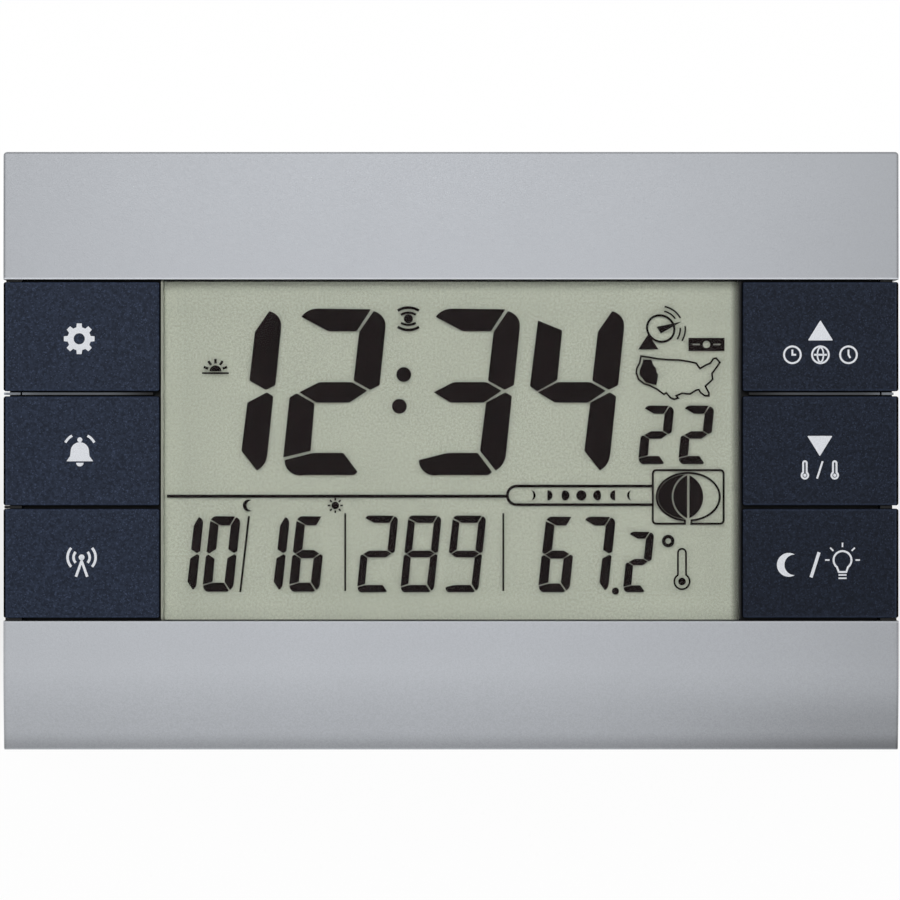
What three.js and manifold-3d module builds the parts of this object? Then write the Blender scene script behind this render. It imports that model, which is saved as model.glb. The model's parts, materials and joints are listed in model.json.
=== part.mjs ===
// Radio-controlled desk alarm clock with a large liquid crystal display, six side keys,
// a fold-out stand and a two-cell battery bay.
//
// The case is modelled in its own frame: X to the right, Y into the depth from the front
// face (depth 0) to the back, and Z up the face, with 0 at mid-height. One group then leans
// the case back, and the origin is moved to the middle of the finished clock's base.
// All sizes are in millimetres and all angles in degrees.

import * as THREE from 'three';
import { mergeVertices } from 'three/addons/utils/BufferGeometryUtils.js';
import Module from 'manifold-3d';

const wasm = await Module();
wasm.setup();

// Driving dimensions: case
const CASE_WIDTH = 150;
const CASE_HEIGHT = 100;
const CASE_DEPTH = 28;
const LEAN_BACK = 12;
const WALL = 2;
const BAR_HEIGHT = 21.4;
const BAR_THICKNESS = 2.2;
const FRONT_SHELL_DEPTH = 12;
const FRONT_CORNER_RADIUS = 0.6;
const LOWER_CURVE_HEIGHT = 13;
const LOWER_CURVE_DEPTH = 1.5;
const SIDE_INSET = 0.8;
const REAR_INSET = 0.8;
const REAR_CORNER_RADIUS = 5;
const REAR_EDGE_RADIUS = 4;
const SHELL_LIP_THICKNESS = 1;
const SHELL_LIP_LENGTH = 1.6;

// Clearances
const SEAT_GAP = 0.3;
const SLIDE_GAP = 0.3;
const PIN_GAP = 0.2;
const DISPLAY_SIDE_GAP = 0.1;
const COVER_GAP = 0.3;

// How finely round forms are cut
const LARGE_SIDES = 28;
const ROUND_SIDES = 20;
const SMALL_SIDES = 12;
const WIRE_SIDES = 5;
const CORNER_STEPS = 4;
const EDGE_STEPS = 3;
const LOWER_CURVE_STEPS = 6;
const SPRING_STEPS_PER_TURN = 8;
const LEAD_STEPS = 8;

// Driving dimensions: keys
const KEY_ROWS = 3;
const KEY_WIDTH = 26.15;
const KEY_TRAVEL = 0.8;
const KEY_EDGE_GAP_TOP = 0.4;
const KEY_GAP_UPPER = 0.84;
const KEY_GAP_LOWER = 0.55;
const KEY_EDGE_GAP_BOTTOM = 0.5;
const KEY_CORNER_RADIUS = 0.4;
const KEY_FACE_THICKNESS = 1.2;
const KEY_SKIRT_THICKNESS = 1.1;
const KEY_BOTTOM_GAP = 0.2;
const KEY_STEM_RADIUS = 2;
const KEY_LEG_OFFSET = 7.5;
const KEY_LEG_THICKNESS = 1.6;
const KEY_LEG_WIDTH = 3;
const KEY_BARB_REACH = 0.8;
const KEY_BARB_LENGTH = 1;
const DIVIDER_THICKNESS = 0.4;
const DIVIDER_FRONT = 0.5;

// Driving dimensions: inner frame and display
const DECK_DEPTH = 3.4;
const DECK_THICKNESS = 1.6;
const FRAME_TUCK = 2.9;
const DISPLAY_RIM_THICKNESS = 0.25;
const DISPLAY_RIM_FRONT = 1;
const DISPLAY_TUCK = 1.2;
const STACK_WALL_THICKNESS = 1.2;
const WINDOW_THICKNESS = 1.2;
const PANEL_THICKNESS = 2.4;
const BACKLIGHT_THICKNESS = 1.8;
const BACKLIGHT_MARGIN = 3;
const CONNECTOR_WIDTH = 1.8;
const FRAME_EAR_RADIUS = 5.5;

// Driving dimensions: circuit board and what it carries
const BOARD_SIDE_GAP = 1.4;
const BOARD_EDGE_GAP = 1;
const BOARD_THICKNESS = 1.6;
const BOARD_BOSS_RADIUS = 2.2;
const BOARD_BOSS_CLEARANCE = 1.45;
const BOARD_SCREW_EDGE_DISTANCE = 3.5;
const SWITCH_SIDE = 6;
const SWITCH_DEPTH = 3;
const PLUNGER_RADIUS = 1.7;
const PLUNGER_LENGTH = 2;
const LAMP_SIZE = 2;
const CHIP_CAP_RADIUS = 7;
const CHIP_CAP_HEIGHT = 1.8;
const CHIP_CAP_X = 12;
const PARTS_Z = -14;
const CRYSTAL_RADIUS = 1;
const CRYSTAL_LENGTH = 6;
const CRYSTAL_X = 32;
const SENSOR_RADIUS = 1.3;
const SENSOR_SIDE_DISTANCE = 10.5;
const SENSOR_EDGE_DISTANCE = 6.5;
const CAPACITOR_RADIUS = 2.5;
const CAPACITOR_LENGTH = 5;
const CAPACITOR_X = -38;

// Driving dimensions: screws
const CASE_SCREW_SIDE_DISTANCE = 6.2;
const CASE_SCREW_EDGE_DISTANCE = 11;
const CASE_SCREW_RADIUS = 1.3;
const CASE_SCREW_HEAD_RADIUS = 2.6;
const CASE_SCREW_HEAD_THICKNESS = 2;
const CASE_SCREW_LENGTH = 12;
const CASE_SCREW_SEAT_DEPTH = 15;
const CASE_BOSS_RADIUS = 3.4;
const CASE_POST_RADIUS = 4.6;
const BOARD_SCREW_RADIUS = 0.9;
const BOARD_SCREW_HEAD_RADIUS = 1.9;
const BOARD_SCREW_HEAD_THICKNESS = 1.1;
const BOARD_SCREW_LENGTH = 4.5;

// Driving dimensions: aerial
const AERIAL_RADIUS = 4;
const AERIAL_LENGTH = 60;
const AERIAL_EDGE_DISTANCE = 8;
const AERIAL_WINDING_THICKNESS = 1;
const AERIAL_WINDING_LENGTH = 16;
const AERIAL_WINDING_X = 18;
const AERIAL_SADDLE_X = 24;
const AERIAL_SADDLE_THICKNESS = 2;
const RECEIVER_WIDTH = 18;
const RECEIVER_HEIGHT = 10;
const RECEIVER_THICKNESS = 1;
const RECEIVER_BOSS_CLEARANCE = 5.6;
const RECEIVER_STAND_OFF = 4;

// Driving dimensions: batteries
const CELL_RADIUS = 5.1;
const CELL_LENGTH = 44.5;
const CELL_NUB_RADIUS = 1.9;
const CELL_NUB_LENGTH = 1;
const CELL_PITCH = 10.8;
const BAY_HALF_LENGTH = 25.5;
const BAY_WALL = 1.2;
const BAY_Z = 22.5;
const CONTACT_THICKNESS = 0.4;
const CONTACT_WIDTH = 8;
const CONTACT_SPRING_WIRE = 0.5;
const CONTACT_SPRING_TURNS = 3;
const CONTACT_SPRING_RADIUS = 3;
const DOOR_THICKNESS = 1.7;
const DOOR_LAP = 1.5;
const DOOR_LEDGE = 2.2;
const DOOR_STUB_RADIUS = 0.5;
const DOOR_STUB_LENGTH = 1.8;
const DOOR_NOTCH_HALF_WIDTH = 6;
const DOOR_NOTCH_HEIGHT = 3;
const DOOR_NOTCH_DEPTH = 1.4;

// Driving dimensions: stand
const STAND_SWING = 20;
const STAND_WIDTH = 44;
const STAND_TIP_WIDTH = 36;
const STAND_THICKNESS = 2.8;
const STAND_PIVOT_Z = 2;
const STAND_BARREL_RADIUS = 1.5;
const STAND_PIN_RADIUS = 0.75;
const STAND_PIN_BITE = 1.6;
const STAND_HEEL = 0.8;
const STAND_POCKET_DEPTH = 3.4;
const STAND_POCKET_WALL = 1.6;
const STAND_FOOT_HEIGHT = 3;
const STAND_FOOT_LAP = 0.3;

// Driving dimensions: sounder and feet
const SOUNDER_RADIUS = 10;
const SOUNDER_THICKNESS = 0.5;
const SOUNDER_SIDE_DISTANCE = 24.2;
const SOUNDER_BASE_DISTANCE = 30;
const SOUNDER_RING_THICKNESS = 1.6;
const SOUNDER_RING_LENGTH = 3;
const SOUNDER_LEDGE = 1;
const SOUNDER_HOLE_RADIUS = 1;
const SOUNDER_HOLE_CIRCLE = 4.5;
const SOUNDER_HOLE_COUNT = 6;
const FOOT_RADIUS = 3;
const FOOT_DROP = 0.6;
const FOOT_POCKET_DEPTH = 0.6;
const FOOT_SIDE_DISTANCE = 13;
const FOOT_EDGE_DISTANCE = 7.8;
const LEAD_RADIUS = 0.5;

// Derived sizes
const lean = THREE.MathUtils.degToRad(LEAN_BACK);
const swing = THREE.MathUtils.degToRad(STAND_SWING);
const halfWidth = CASE_WIDTH / 2;
const halfHeight = CASE_HEIGHT / 2;
const zoneHalf = halfHeight - BAR_HEIGHT;
const sideHalf = halfWidth - SIDE_INSET;
const innerHalfWidth = sideHalf - WALL;
const innerHalfHeight = halfHeight - WALL;
const rearHalfWidth = halfWidth - REAR_INSET;
const rearHalfHeight = halfHeight - REAR_INSET;
const rearFront = FRONT_SHELL_DEPTH + SEAT_GAP;
const rearInside = CASE_DEPTH - WALL;
const BEYOND = 3 * CASE_WIDTH;

const keyInner = halfWidth - KEY_WIDTH;
const keyX = (halfWidth + keyInner) / 2;
const keyGaps = KEY_EDGE_GAP_TOP + KEY_GAP_UPPER + KEY_GAP_LOWER + KEY_EDGE_GAP_BOTTOM;
const keyHeight = (2 * zoneHalf - keyGaps) / KEY_ROWS;
const upperKeyZ = zoneHalf - KEY_EDGE_GAP_TOP - keyHeight / 2;
const middleKeyZ = upperKeyZ - keyHeight - KEY_GAP_UPPER;
const lowerKeyZ = middleKeyZ - keyHeight - KEY_GAP_LOWER;
const dividerZ = upperKeyZ - keyHeight / 2 - KEY_GAP_UPPER / 2;
const skirtDepth = DECK_DEPTH - KEY_TRAVEL - KEY_BOTTOM_GAP;
const deckBack = DECK_DEPTH + DECK_THICKNESS;

const displayHalf = keyInner - KEY_BOTTOM_GAP - DISPLAY_RIM_THICKNESS;
const stackHalfHeight = zoneHalf + DISPLAY_TUCK;
const stackHalfWidth = displayHalf - DISPLAY_SIDE_GAP;
const windowFront = BAR_THICKNESS + SEAT_GAP;
const windowBack = windowFront + WINDOW_THICKNESS;
const panelFront = windowBack + SEAT_GAP;
const panelBack = panelFront + PANEL_THICKNESS;
const backlightFront = panelBack + SEAT_GAP;
const backlightBack = backlightFront + BACKLIGHT_THICKNESS;
const boardFront = backlightBack + 3 * SEAT_GAP;
const boardBack = boardFront + BOARD_THICKNESS;
const frameBack = boardFront - SEAT_GAP;
const frameHalfHeight = zoneHalf + FRAME_TUCK;
const frameHalfWidth = innerHalfWidth - SLIDE_GAP;
const boardHalfWidth = frameHalfWidth - BOARD_SIDE_GAP;
const boardHalfHeight = frameHalfHeight - BOARD_EDGE_GAP;
const stackWallHalf = displayHalf + STACK_WALL_THICKNESS;
const boardScrewX = stackWallHalf + BOARD_BOSS_RADIUS + BOARD_BOSS_CLEARANCE;
const boardScrewZ = boardHalfHeight - BOARD_SCREW_EDGE_DISTANCE;
const caseScrewX = innerHalfWidth - CASE_SCREW_SIDE_DISTANCE;
const caseScrewZ = innerHalfHeight - CASE_SCREW_EDGE_DISTANCE;
const sensorX = boardHalfWidth - SENSOR_SIDE_DISTANCE;
const sensorZ = SENSOR_EDGE_DISTANCE - boardHalfHeight;
const aerialZ = innerHalfHeight - AERIAL_EDGE_DISTANCE;
const aerialDepth = BAR_THICKNESS + SEAT_GAP + AERIAL_RADIUS + AERIAL_WINDING_THICKNESS + SLIDE_GAP;
const receiverHalf = RECEIVER_WIDTH / 2;
const receiverX = caseScrewX - CASE_BOSS_RADIUS - RECEIVER_BOSS_CLEARANCE - receiverHalf;
const sounderX = innerHalfWidth - SOUNDER_SIDE_DISTANCE;
const sounderZ = SOUNDER_BASE_DISTANCE - halfHeight;
const footX = halfWidth - FOOT_SIDE_DISTANCE;

const switchFront = frameBack - SWITCH_DEPTH;
const plungerFront = deckBack;
const stemBack = plungerFront - SEAT_GAP;

const bayHalfHeight = CELL_PITCH / 2 + CELL_RADIUS + SLIDE_GAP;
const doorInside = CASE_DEPTH - DOOR_THICKNESS;
const bayMouth = doorInside - SEAT_GAP;
const cellDepth = doorInside - 2 * SEAT_GAP - CELL_RADIUS;
const bayFloor = cellDepth - CELL_RADIUS - SEAT_GAP;
const doorHalfWidth = BAY_HALF_LENGTH + DOOR_LAP;
const doorHalfHeight = bayHalfHeight + DOOR_LAP;
const doorAxisZ = BAY_Z - doorHalfHeight + DOOR_THICKNESS / 2;
const doorAxisDepth = CASE_DEPTH - DOOR_THICKNESS / 2;

const pocketFloor = CASE_DEPTH - STAND_POCKET_DEPTH;
const pivotDepth = pocketFloor + SLIDE_GAP + STAND_THICKNESS / 2;
const pocketHalf = STAND_WIDTH / 2 + SLIDE_GAP;
const footSeat = -halfHeight * Math.cos(lean);
const tableHeight = footSeat - FOOT_DROP;
const pivotHeight = STAND_PIVOT_Z * Math.cos(lean) - pivotDepth * Math.sin(lean) - tableHeight;
const standLength = pivotHeight / Math.cos(swing - lean);

// Materials
const material = (color, roughness, metalness = 0, extra = {}) =>
  new THREE.MeshStandardMaterial({ color, roughness, metalness, ...extra });
const silverPaint = material('#b4b7bc', 0.45, 0.35);
const rearPlastic = material('#9a9da3', 0.55, 0.1);
const navyPlastic = material('#2e3442', 0.5, 0.1);
const blackPlastic = material('#141517', 0.55);
const clearPlastic = material('#e6ece8', 0.08, 0, { transparent: true, opacity: 0.3 });
const panelGlass = material('#a9ad9f', 0.35);
const whiteDiffuser = material('#e8ebe4', 0.6);
const boardGreen = material('#1f6b45', 0.5);
const stripRubber = material('#4a4d52', 0.8);
const footRubber = material('#232426', 0.9);
const steel = material('#c0c2c5', 0.3, 1);
const spring = material('#b9bcc0', 0.28, 1);
const ferrite = material('#3a3b3e', 0.7);
const copper = material('#b0663a', 0.35, 1);
const brass = material('#c8a45a', 0.35, 1);
const cellJacket = material('#3d4a57', 0.4);
const redLead = material('#a92a24', 0.5);
const blackLead = material('#1b1b1d', 0.5);

// Solids and booleans
function solidOf(geometry) {
  const bare = geometry.clone();
  bare.deleteAttribute('normal');
  bare.deleteAttribute('uv');
  const merged = mergeVertices(bare, 1e-5);
  const corners = merged.index.array;
  const kept = [];
  for (let i = 0; i < corners.length; i += 3) {
    const [a, b, c] = [corners[i], corners[i + 1], corners[i + 2]];
    if (a !== b && b !== c && c !== a) kept.push(a, b, c);
  }
  return new wasm.Manifold(new wasm.Mesh({
    numProp: 3,
    vertProperties: new Float32Array(merged.attributes.position.array),
    triVerts: new Uint32Array(kept),
  }));
}

function geometryOf(solid) {
  const mesh = solid.getMesh();
  const geometry = new THREE.BufferGeometry();
  geometry.setAttribute('position', new THREE.BufferAttribute(mesh.vertProperties, 3));
  geometry.setIndex(new THREE.BufferAttribute(mesh.triVerts, 1));
  return geometry;
}

const joined = (first, ...others) => others.reduce((sum, next) => sum.add(next), first);
const without = (first, ...others) => others.reduce((sum, next) => sum.subtract(next), first);

// A box given by its limits along X, depth and Z.
function block([x0, x1], [depth0, depth1], [z0, z1]) {
  const geometry = new THREE.BoxGeometry(x1 - x0, depth1 - depth0, z1 - z0);
  geometry.translate((x0 + x1) / 2, (depth0 + depth1) / 2, (z0 + z1) / 2);
  return solidOf(geometry);
}

const span = (half) => [-half, half];
const around = (middle, half) => [middle - half, middle + half];

// A round bar whose axis runs into the depth.
function depthBar(x, z, [depth0, depth1], radius, sides = ROUND_SIDES) {
  const geometry = new THREE.CylinderGeometry(radius, radius, depth1 - depth0, sides);
  geometry.translate(x, (depth0 + depth1) / 2, z);
  return solidOf(geometry);
}

// A round bar whose axis runs along X.
function crossBar([x0, x1], depth, z, radius, sides = ROUND_SIDES) {
  const geometry = new THREE.CylinderGeometry(radius, radius, x1 - x0, sides);
  geometry.rotateZ(Math.PI / 2);
  geometry.translate((x0 + x1) / 2, depth, z);
  return solidOf(geometry);
}

function roundedRectangle(halfX, halfZ, radius) {
  const shape = new THREE.Shape();
  shape.moveTo(-halfX + radius, -halfZ);
  shape.lineTo(halfX - radius, -halfZ);
  shape.absarc(halfX - radius, -halfZ + radius, radius, -Math.PI / 2, 0);
  shape.lineTo(halfX, halfZ - radius);
  shape.absarc(halfX - radius, halfZ - radius, radius, 0, Math.PI / 2);
  shape.lineTo(-halfX + radius, halfZ);
  shape.absarc(-halfX + radius, halfZ - radius, radius, Math.PI / 2, Math.PI);
  shape.lineTo(-halfX, -halfZ + radius);
  shape.absarc(-halfX + radius, -halfZ + radius, radius, Math.PI, Math.PI * 1.5);
  return shape;
}

// A shape drawn in X and Z, given thickness from depth0 to depth1.
function plate(shape, [depth0, depth1], options = {}) {
  const plain = { bevelEnabled: false, curveSegments: CORNER_STEPS };
  const settings = { depth: depth1 - depth0, ...plain, ...options };
  const geometry = new THREE.ExtrudeGeometry(shape, settings);
  geometry.rotateX(Math.PI / 2);
  geometry.translate(0, depth1, 0);
  return solidOf(geometry);
}

// What lies in front of the lower bar's face, which curves back towards its lower edge.
function beforeLowerCurve() {
  const top = LOWER_CURVE_HEIGHT - halfHeight;
  const depthAt = (drop) => LOWER_CURVE_DEPTH * (drop / LOWER_CURVE_HEIGHT) ** 2;
  const outline = new THREE.Shape();
  outline.moveTo(-WALL, top);
  for (let i = 0; i <= LOWER_CURVE_STEPS; i += 1) {
    const drop = (i / LOWER_CURVE_STEPS) * LOWER_CURVE_HEIGHT;
    outline.lineTo(depthAt(drop), top - drop);
  }
  outline.lineTo(depthAt(LOWER_CURVE_HEIGHT + WALL), -halfHeight - WALL);
  outline.lineTo(-WALL, -halfHeight - WALL);
  const geometry = new THREE.ExtrudeGeometry(outline, { depth: BEYOND, bevelEnabled: false });
  geometry.translate(0, 0, -BEYOND / 2);
  geometry.applyMatrix4(new THREE.Matrix4().makeBasis(
    new THREE.Vector3(0, 1, 0), new THREE.Vector3(0, 0, 1), new THREE.Vector3(1, 0, 0)));
  return solidOf(geometry);
}

// A hull with round corners and a rounded back edge; its front end is cut square.
function roundedHull(halfX, halfZ, cornerRadius, [depth0, depth1], edgeRadius) {
  const start = depth0 - 2 * edgeRadius;
  const body = plate(
    roundedRectangle(halfX, halfZ, cornerRadius),
    [start + edgeRadius, depth1 - edgeRadius],
    {
      bevelEnabled: true,
      bevelSize: edgeRadius,
      bevelOffset: -edgeRadius,
      bevelThickness: edgeRadius,
      bevelSegments: EDGE_STEPS,
    },
  );
  return body.subtract(block(span(BEYOND), [-BEYOND, depth0], span(BEYOND)));
}

// Everything below a level plane, in a frame that is turned by tilt about X.
function below(tilt, depth, z) {
  const geometry = new THREE.BoxGeometry(BEYOND, BEYOND, BEYOND);
  geometry.translate(0, 0, -BEYOND / 2);
  geometry.rotateX(tilt);
  geometry.translate(0, depth, z);
  return solidOf(geometry);
}

// Everything below the case's base plane, raised by a height.
const belowBase = (height) =>
  below(lean, -height * Math.sin(lean), -halfHeight + height * Math.cos(lean));

function tube(points, radius, sides, steps) {
  const section = new THREE.Shape();
  section.absarc(0, 0, radius, 0, 2 * Math.PI);
  const path = new THREE.CatmullRomCurve3(points.map((point) => new THREE.Vector3(...point)));
  const geometry = new THREE.ExtrudeGeometry(section, {
    steps,
    extrudePath: path,
    curveSegments: sides,
  });
  return solidOf(geometry);
}

const clock = new THREE.Group();
const leaningCase = new THREE.Group();
leaningCase.rotation.x = -lean;
clock.add(leaningCase);

function addPiece(name, solid, finish, parent = leaningCase) {
  const mesh = new THREE.Mesh(geometryOf(solid), finish);
  mesh.name = name;
  parent.add(mesh);
  return mesh;
}

const screwCorners = [[-1, 1], [1, 1], [-1, -1], [1, -1]];
const caseScrewPlaces = screwCorners.map(([sx, sz]) => [sx * caseScrewX, sz * caseScrewZ]);
const boardScrewPlaces = screwCorners.map(([sx, sz]) => [sx * boardScrewX, sz * boardScrewZ]);
const footPlaces = screwCorners.map(([sx, sy]) => {
  const baseDepth = CASE_DEPTH / Math.cos(lean);
  const y = sy < 0 ? FOOT_EDGE_DISTANCE : baseDepth - FOOT_EDGE_DISTANCE;
  return [sx * footX, y];
});

// A round bar that stands upright in the leaning case's frame, for the feet's pockets.
function uprightBar(x, y, [z0, z1], radius) {
  const geometry = new THREE.CylinderGeometry(radius, radius, z1 - z0, ROUND_SIDES);
  geometry.rotateX(Math.PI / 2);
  geometry.translate(x, y, (z0 + z1) / 2);
  geometry.rotateX(lean);
  geometry.translate(0, 0, -halfHeight);
  return solidOf(geometry);
}

const footPockets = footPlaces.map(([x, y]) =>
  uprightBar(x, y, [-FOOT_DROP, FOOT_POCKET_DEPTH], FOOT_RADIUS + SLIDE_GAP));

// Front shell: two bars, side walls behind the keys, screw bosses and the aerial's saddles
function frontShell() {
  const outside = plate(
    roundedRectangle(halfWidth, halfHeight, FRONT_CORNER_RADIUS), [0, FRONT_SHELL_DEPTH]);
  const zone = span(zoneHalf);
  const sideCuts = [-1, 1].map((side) => {
    const limits = [side * sideHalf, side * BEYOND].sort((a, b) => a - b);
    return block(limits, [-WALL, FRONT_SHELL_DEPTH + WALL], zone);
  });
  const cavity = block(
    span(innerHalfWidth), [BAR_THICKNESS, FRONT_SHELL_DEPTH + WALL], span(innerHalfHeight),
  ).subtract(belowBase(WALL));
  let shell = without(
    outside,
    block(span(BEYOND), [-WALL, DECK_DEPTH], zone),
    block(span(innerHalfWidth), [-WALL, FRONT_SHELL_DEPTH], zone),
    cavity,
    ...sideCuts,
  );
  for (const [x, z] of caseScrewPlaces) {
    const boss = depthBar(x, z, [BAR_THICKNESS / 2, FRONT_SHELL_DEPTH], CASE_BOSS_RADIUS);
    shell = shell.add(boss);
  }
  for (const side of [-1, 1]) {
    const saddle = block(
      around(side * AERIAL_SADDLE_X, AERIAL_SADDLE_THICKNESS / 2),
      [BAR_THICKNESS / 2, aerialDepth],
      around(aerialZ, AERIAL_RADIUS + WALL),
    );
    const post = depthBar(
      receiverX + side * (receiverHalf - WALL), aerialZ,
      [BAR_THICKNESS / 2, BAR_THICKNESS + RECEIVER_STAND_OFF], WALL, SMALL_SIDES);
    const wallLimits = [side * innerHalfWidth, side * sideHalf].sort((a, b) => a - b);
    const dividerEnd = block(
      wallLimits, [DIVIDER_FRONT, deckBack], around(dividerZ, DIVIDER_THICKNESS / 2));
    shell = joined(shell, saddle, post, dividerEnd);
  }
  const rodRoom = crossBar(span(AERIAL_LENGTH / 2), aerialDepth, aerialZ, AERIAL_RADIUS + SEAT_GAP);
  shell = shell.subtract(rodRoom);
  const pilotStart = BAR_THICKNESS + WALL / 2;
  for (const [x, z] of caseScrewPlaces) {
    const pilot = depthBar(
      x, z, [pilotStart, FRONT_SHELL_DEPTH + WALL], CASE_SCREW_RADIUS + SEAT_GAP, SMALL_SIDES);
    shell = shell.subtract(pilot);
  }
  return without(shell, belowBase(0), beforeLowerCurve(), ...footPockets);
}

// Inner frame: the black deck under the keys, the display's rim and the board's bosses
function innerFrame() {
  const deckLimits = [DECK_DEPTH, deckBack];
  let frame = block(span(frameHalfWidth), deckLimits, span(frameHalfHeight));
  const stackWall = block(
    span(stackWallHalf),
    [DECK_DEPTH, backlightBack],
    span(stackHalfHeight + SLIDE_GAP + STACK_WALL_THICKNESS),
  );
  const rim = block(
    span(displayHalf + DISPLAY_RIM_THICKNESS), [DISPLAY_RIM_FRONT, deckBack],
    span(zoneHalf - SLIDE_GAP));
  frame = joined(frame, stackWall, rim);
  for (const side of [-1, 1]) {
    const landLimits = [side * (zoneHalf + SLIDE_GAP), side * frameHalfHeight].sort((a, b) => a - b);
    frame = frame.add(block(span(frameHalfWidth), [windowFront, deckBack], landLimits));
  }
  for (const side of [-1, 1]) {
    const start = side * (keyInner + KEY_SKIRT_THICKNESS);
    const limits = [start, side * frameHalfWidth].sort((a, b) => a - b);
    const divider = block(
      limits, [DIVIDER_FRONT, deckBack], around(dividerZ, DIVIDER_THICKNESS / 2));
    frame = frame.add(divider);
  }
  for (const [x, z] of boardScrewPlaces) {
    frame = frame.add(depthBar(x, z, [DECK_DEPTH, frameBack], BOARD_BOSS_RADIUS, SMALL_SIDES));
  }
  for (const [x, z] of caseScrewPlaces) {
    const reach = [Math.sign(z) * (frameHalfHeight - WALL), z].sort((a, b) => a - b);
    frame = joined(
      frame,
      depthBar(x, z, deckLimits, FRAME_EAR_RADIUS),
      block(around(x, FRAME_EAR_RADIUS), deckLimits, reach),
    );
  }
  frame = frame.subtract(block(span(displayHalf), [0, boardFront], span(stackHalfHeight + SLIDE_GAP)));
  for (const [x, z] of caseScrewPlaces) {
    const hole = depthBar(x, z, [0, boardFront], CASE_BOSS_RADIUS + SLIDE_GAP);
    frame = frame.subtract(hole);
  }
  for (const [x, z] of boardScrewPlaces) {
    const pilot = depthBar(
      x, z, [deckBack, boardFront], BOARD_SCREW_RADIUS + SEAT_GAP, SMALL_SIDES);
    frame = frame.subtract(pilot);
  }
  for (const { x, z } of keys) {
    frame = frame.subtract(depthBar(x, z, [0, boardFront], KEY_STEM_RADIUS + SLIDE_GAP));
    for (const side of [-1, 1]) {
      const slot = block(
        around(x + side * KEY_LEG_OFFSET, KEY_LEG_THICKNESS / 2 + SLIDE_GAP),
        [0, boardFront],
        around(z, KEY_LEG_WIDTH / 2 + SLIDE_GAP),
      );
      frame = frame.subtract(slot);
    }
  }
  const frameWall = block(
    span(innerHalfWidth - SLIDE_GAP), [0, boardBack], span(innerHalfHeight - SLIDE_GAP));
  return frame.intersect(frameWall);
}

// Keys: each has a face with a skirt, a stem that presses its switch and two barbed legs
const keys = [
  { name: 'set', x: -keyX, z: upperKeyZ },
  { name: 'alarm', x: -keyX, z: middleKeyZ },
  { name: 'wave', x: -keyX, z: lowerKeyZ },
  { name: 'up', x: keyX, z: upperKeyZ },
  { name: 'down', x: keyX, z: middleKeyZ },
  { name: 'light', x: keyX, z: lowerKeyZ },
];

function keycap() {
  const outline = roundedRectangle(KEY_WIDTH / 2, keyHeight / 2, KEY_CORNER_RADIUS);
  const hollow = block(
    span(KEY_WIDTH / 2 - KEY_SKIRT_THICKNESS),
    [KEY_FACE_THICKNESS, skirtDepth + WALL],
    span(keyHeight / 2 - KEY_SKIRT_THICKNESS),
  );
  let cap = plate(outline, [0, skirtDepth]).subtract(hollow);
  cap = cap.add(depthBar(0, 0, [KEY_FACE_THICKNESS / 2, stemBack], KEY_STEM_RADIUS));
  const barbFront = deckBack + SLIDE_GAP;
  for (const side of [-1, 1]) {
    const legX = side * KEY_LEG_OFFSET;
    const barbEnd = legX + side * (KEY_LEG_THICKNESS / 2 + KEY_BARB_REACH);
    const leg = block(
      around(legX, KEY_LEG_THICKNESS / 2),
      [KEY_FACE_THICKNESS / 2, barbFront + KEY_BARB_LENGTH],
      span(KEY_LEG_WIDTH / 2),
    );
    const barb = block(
      [legX, barbEnd].sort((a, b) => a - b),
      [barbFront, barbFront + KEY_BARB_LENGTH],
      span(KEY_LEG_WIDTH / 2),
    );
    cap = joined(cap, leg, barb);
  }
  return cap;
}

function addKeys() {
  const cap = keycap();
  const plungerBack = plungerFront + PLUNGER_LENGTH;
  const plunger = depthBar(0, 0, [plungerFront, plungerBack], PLUNGER_RADIUS, SMALL_SIDES);
  const boreBack = plungerBack + KEY_TRAVEL + SEAT_GAP;
  const housing = block(
    span(SWITCH_SIDE / 2), [switchFront, frameBack], span(SWITCH_SIDE / 2),
  ).subtract(depthBar(0, 0, [0, boreBack], PLUNGER_RADIUS + SLIDE_GAP, SMALL_SIDES));
  for (const { name, x, z } of keys) {
    const place = [x, 0, z];
    addPiece(`${name}_key`, cap.translate(place), navyPlastic);
    addPiece(`${name}_plunger`, plunger.translate(place), blackPlastic);
    addPiece(`${name}_switch`, housing.translate(place), blackPlastic);
  }
}

// Display stack: clear window, crystal panel, backlight panel with its lamp, connector strip
function addDisplay() {
  const stackHeight = span(stackHalfHeight);
  addPiece('display_window', block(
    span(stackHalfWidth), [windowFront, windowBack], stackHeight), clearPlastic);
  addPiece('display_panel', block(
    span(stackHalfWidth), [panelFront, panelBack], stackHeight), panelGlass);
  const connectorTop = stackHalfHeight - SLIDE_GAP;
  const connectorFoot = connectorTop - CONNECTOR_WIDTH;
  const lightHalf = stackHalfWidth - BACKLIGHT_MARGIN;
  addPiece('backlight_panel', block(
    span(lightHalf), [backlightFront, backlightBack],
    [-stackHalfHeight, connectorFoot - SLIDE_GAP]), whiteDiffuser);
  addPiece('connector_strip', block(
    span(lightHalf), [backlightFront, boardFront - SEAT_GAP],
    [connectorFoot, connectorTop]), stripRubber);
  const lampX = lightHalf + SEAT_GAP + LAMP_SIZE / 2;
  addPiece('backlight_lamp', block(
    around(lampX, LAMP_SIZE / 2), [backlightFront, boardFront - SEAT_GAP],
    span(LAMP_SIZE)), whiteDiffuser);
}

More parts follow.
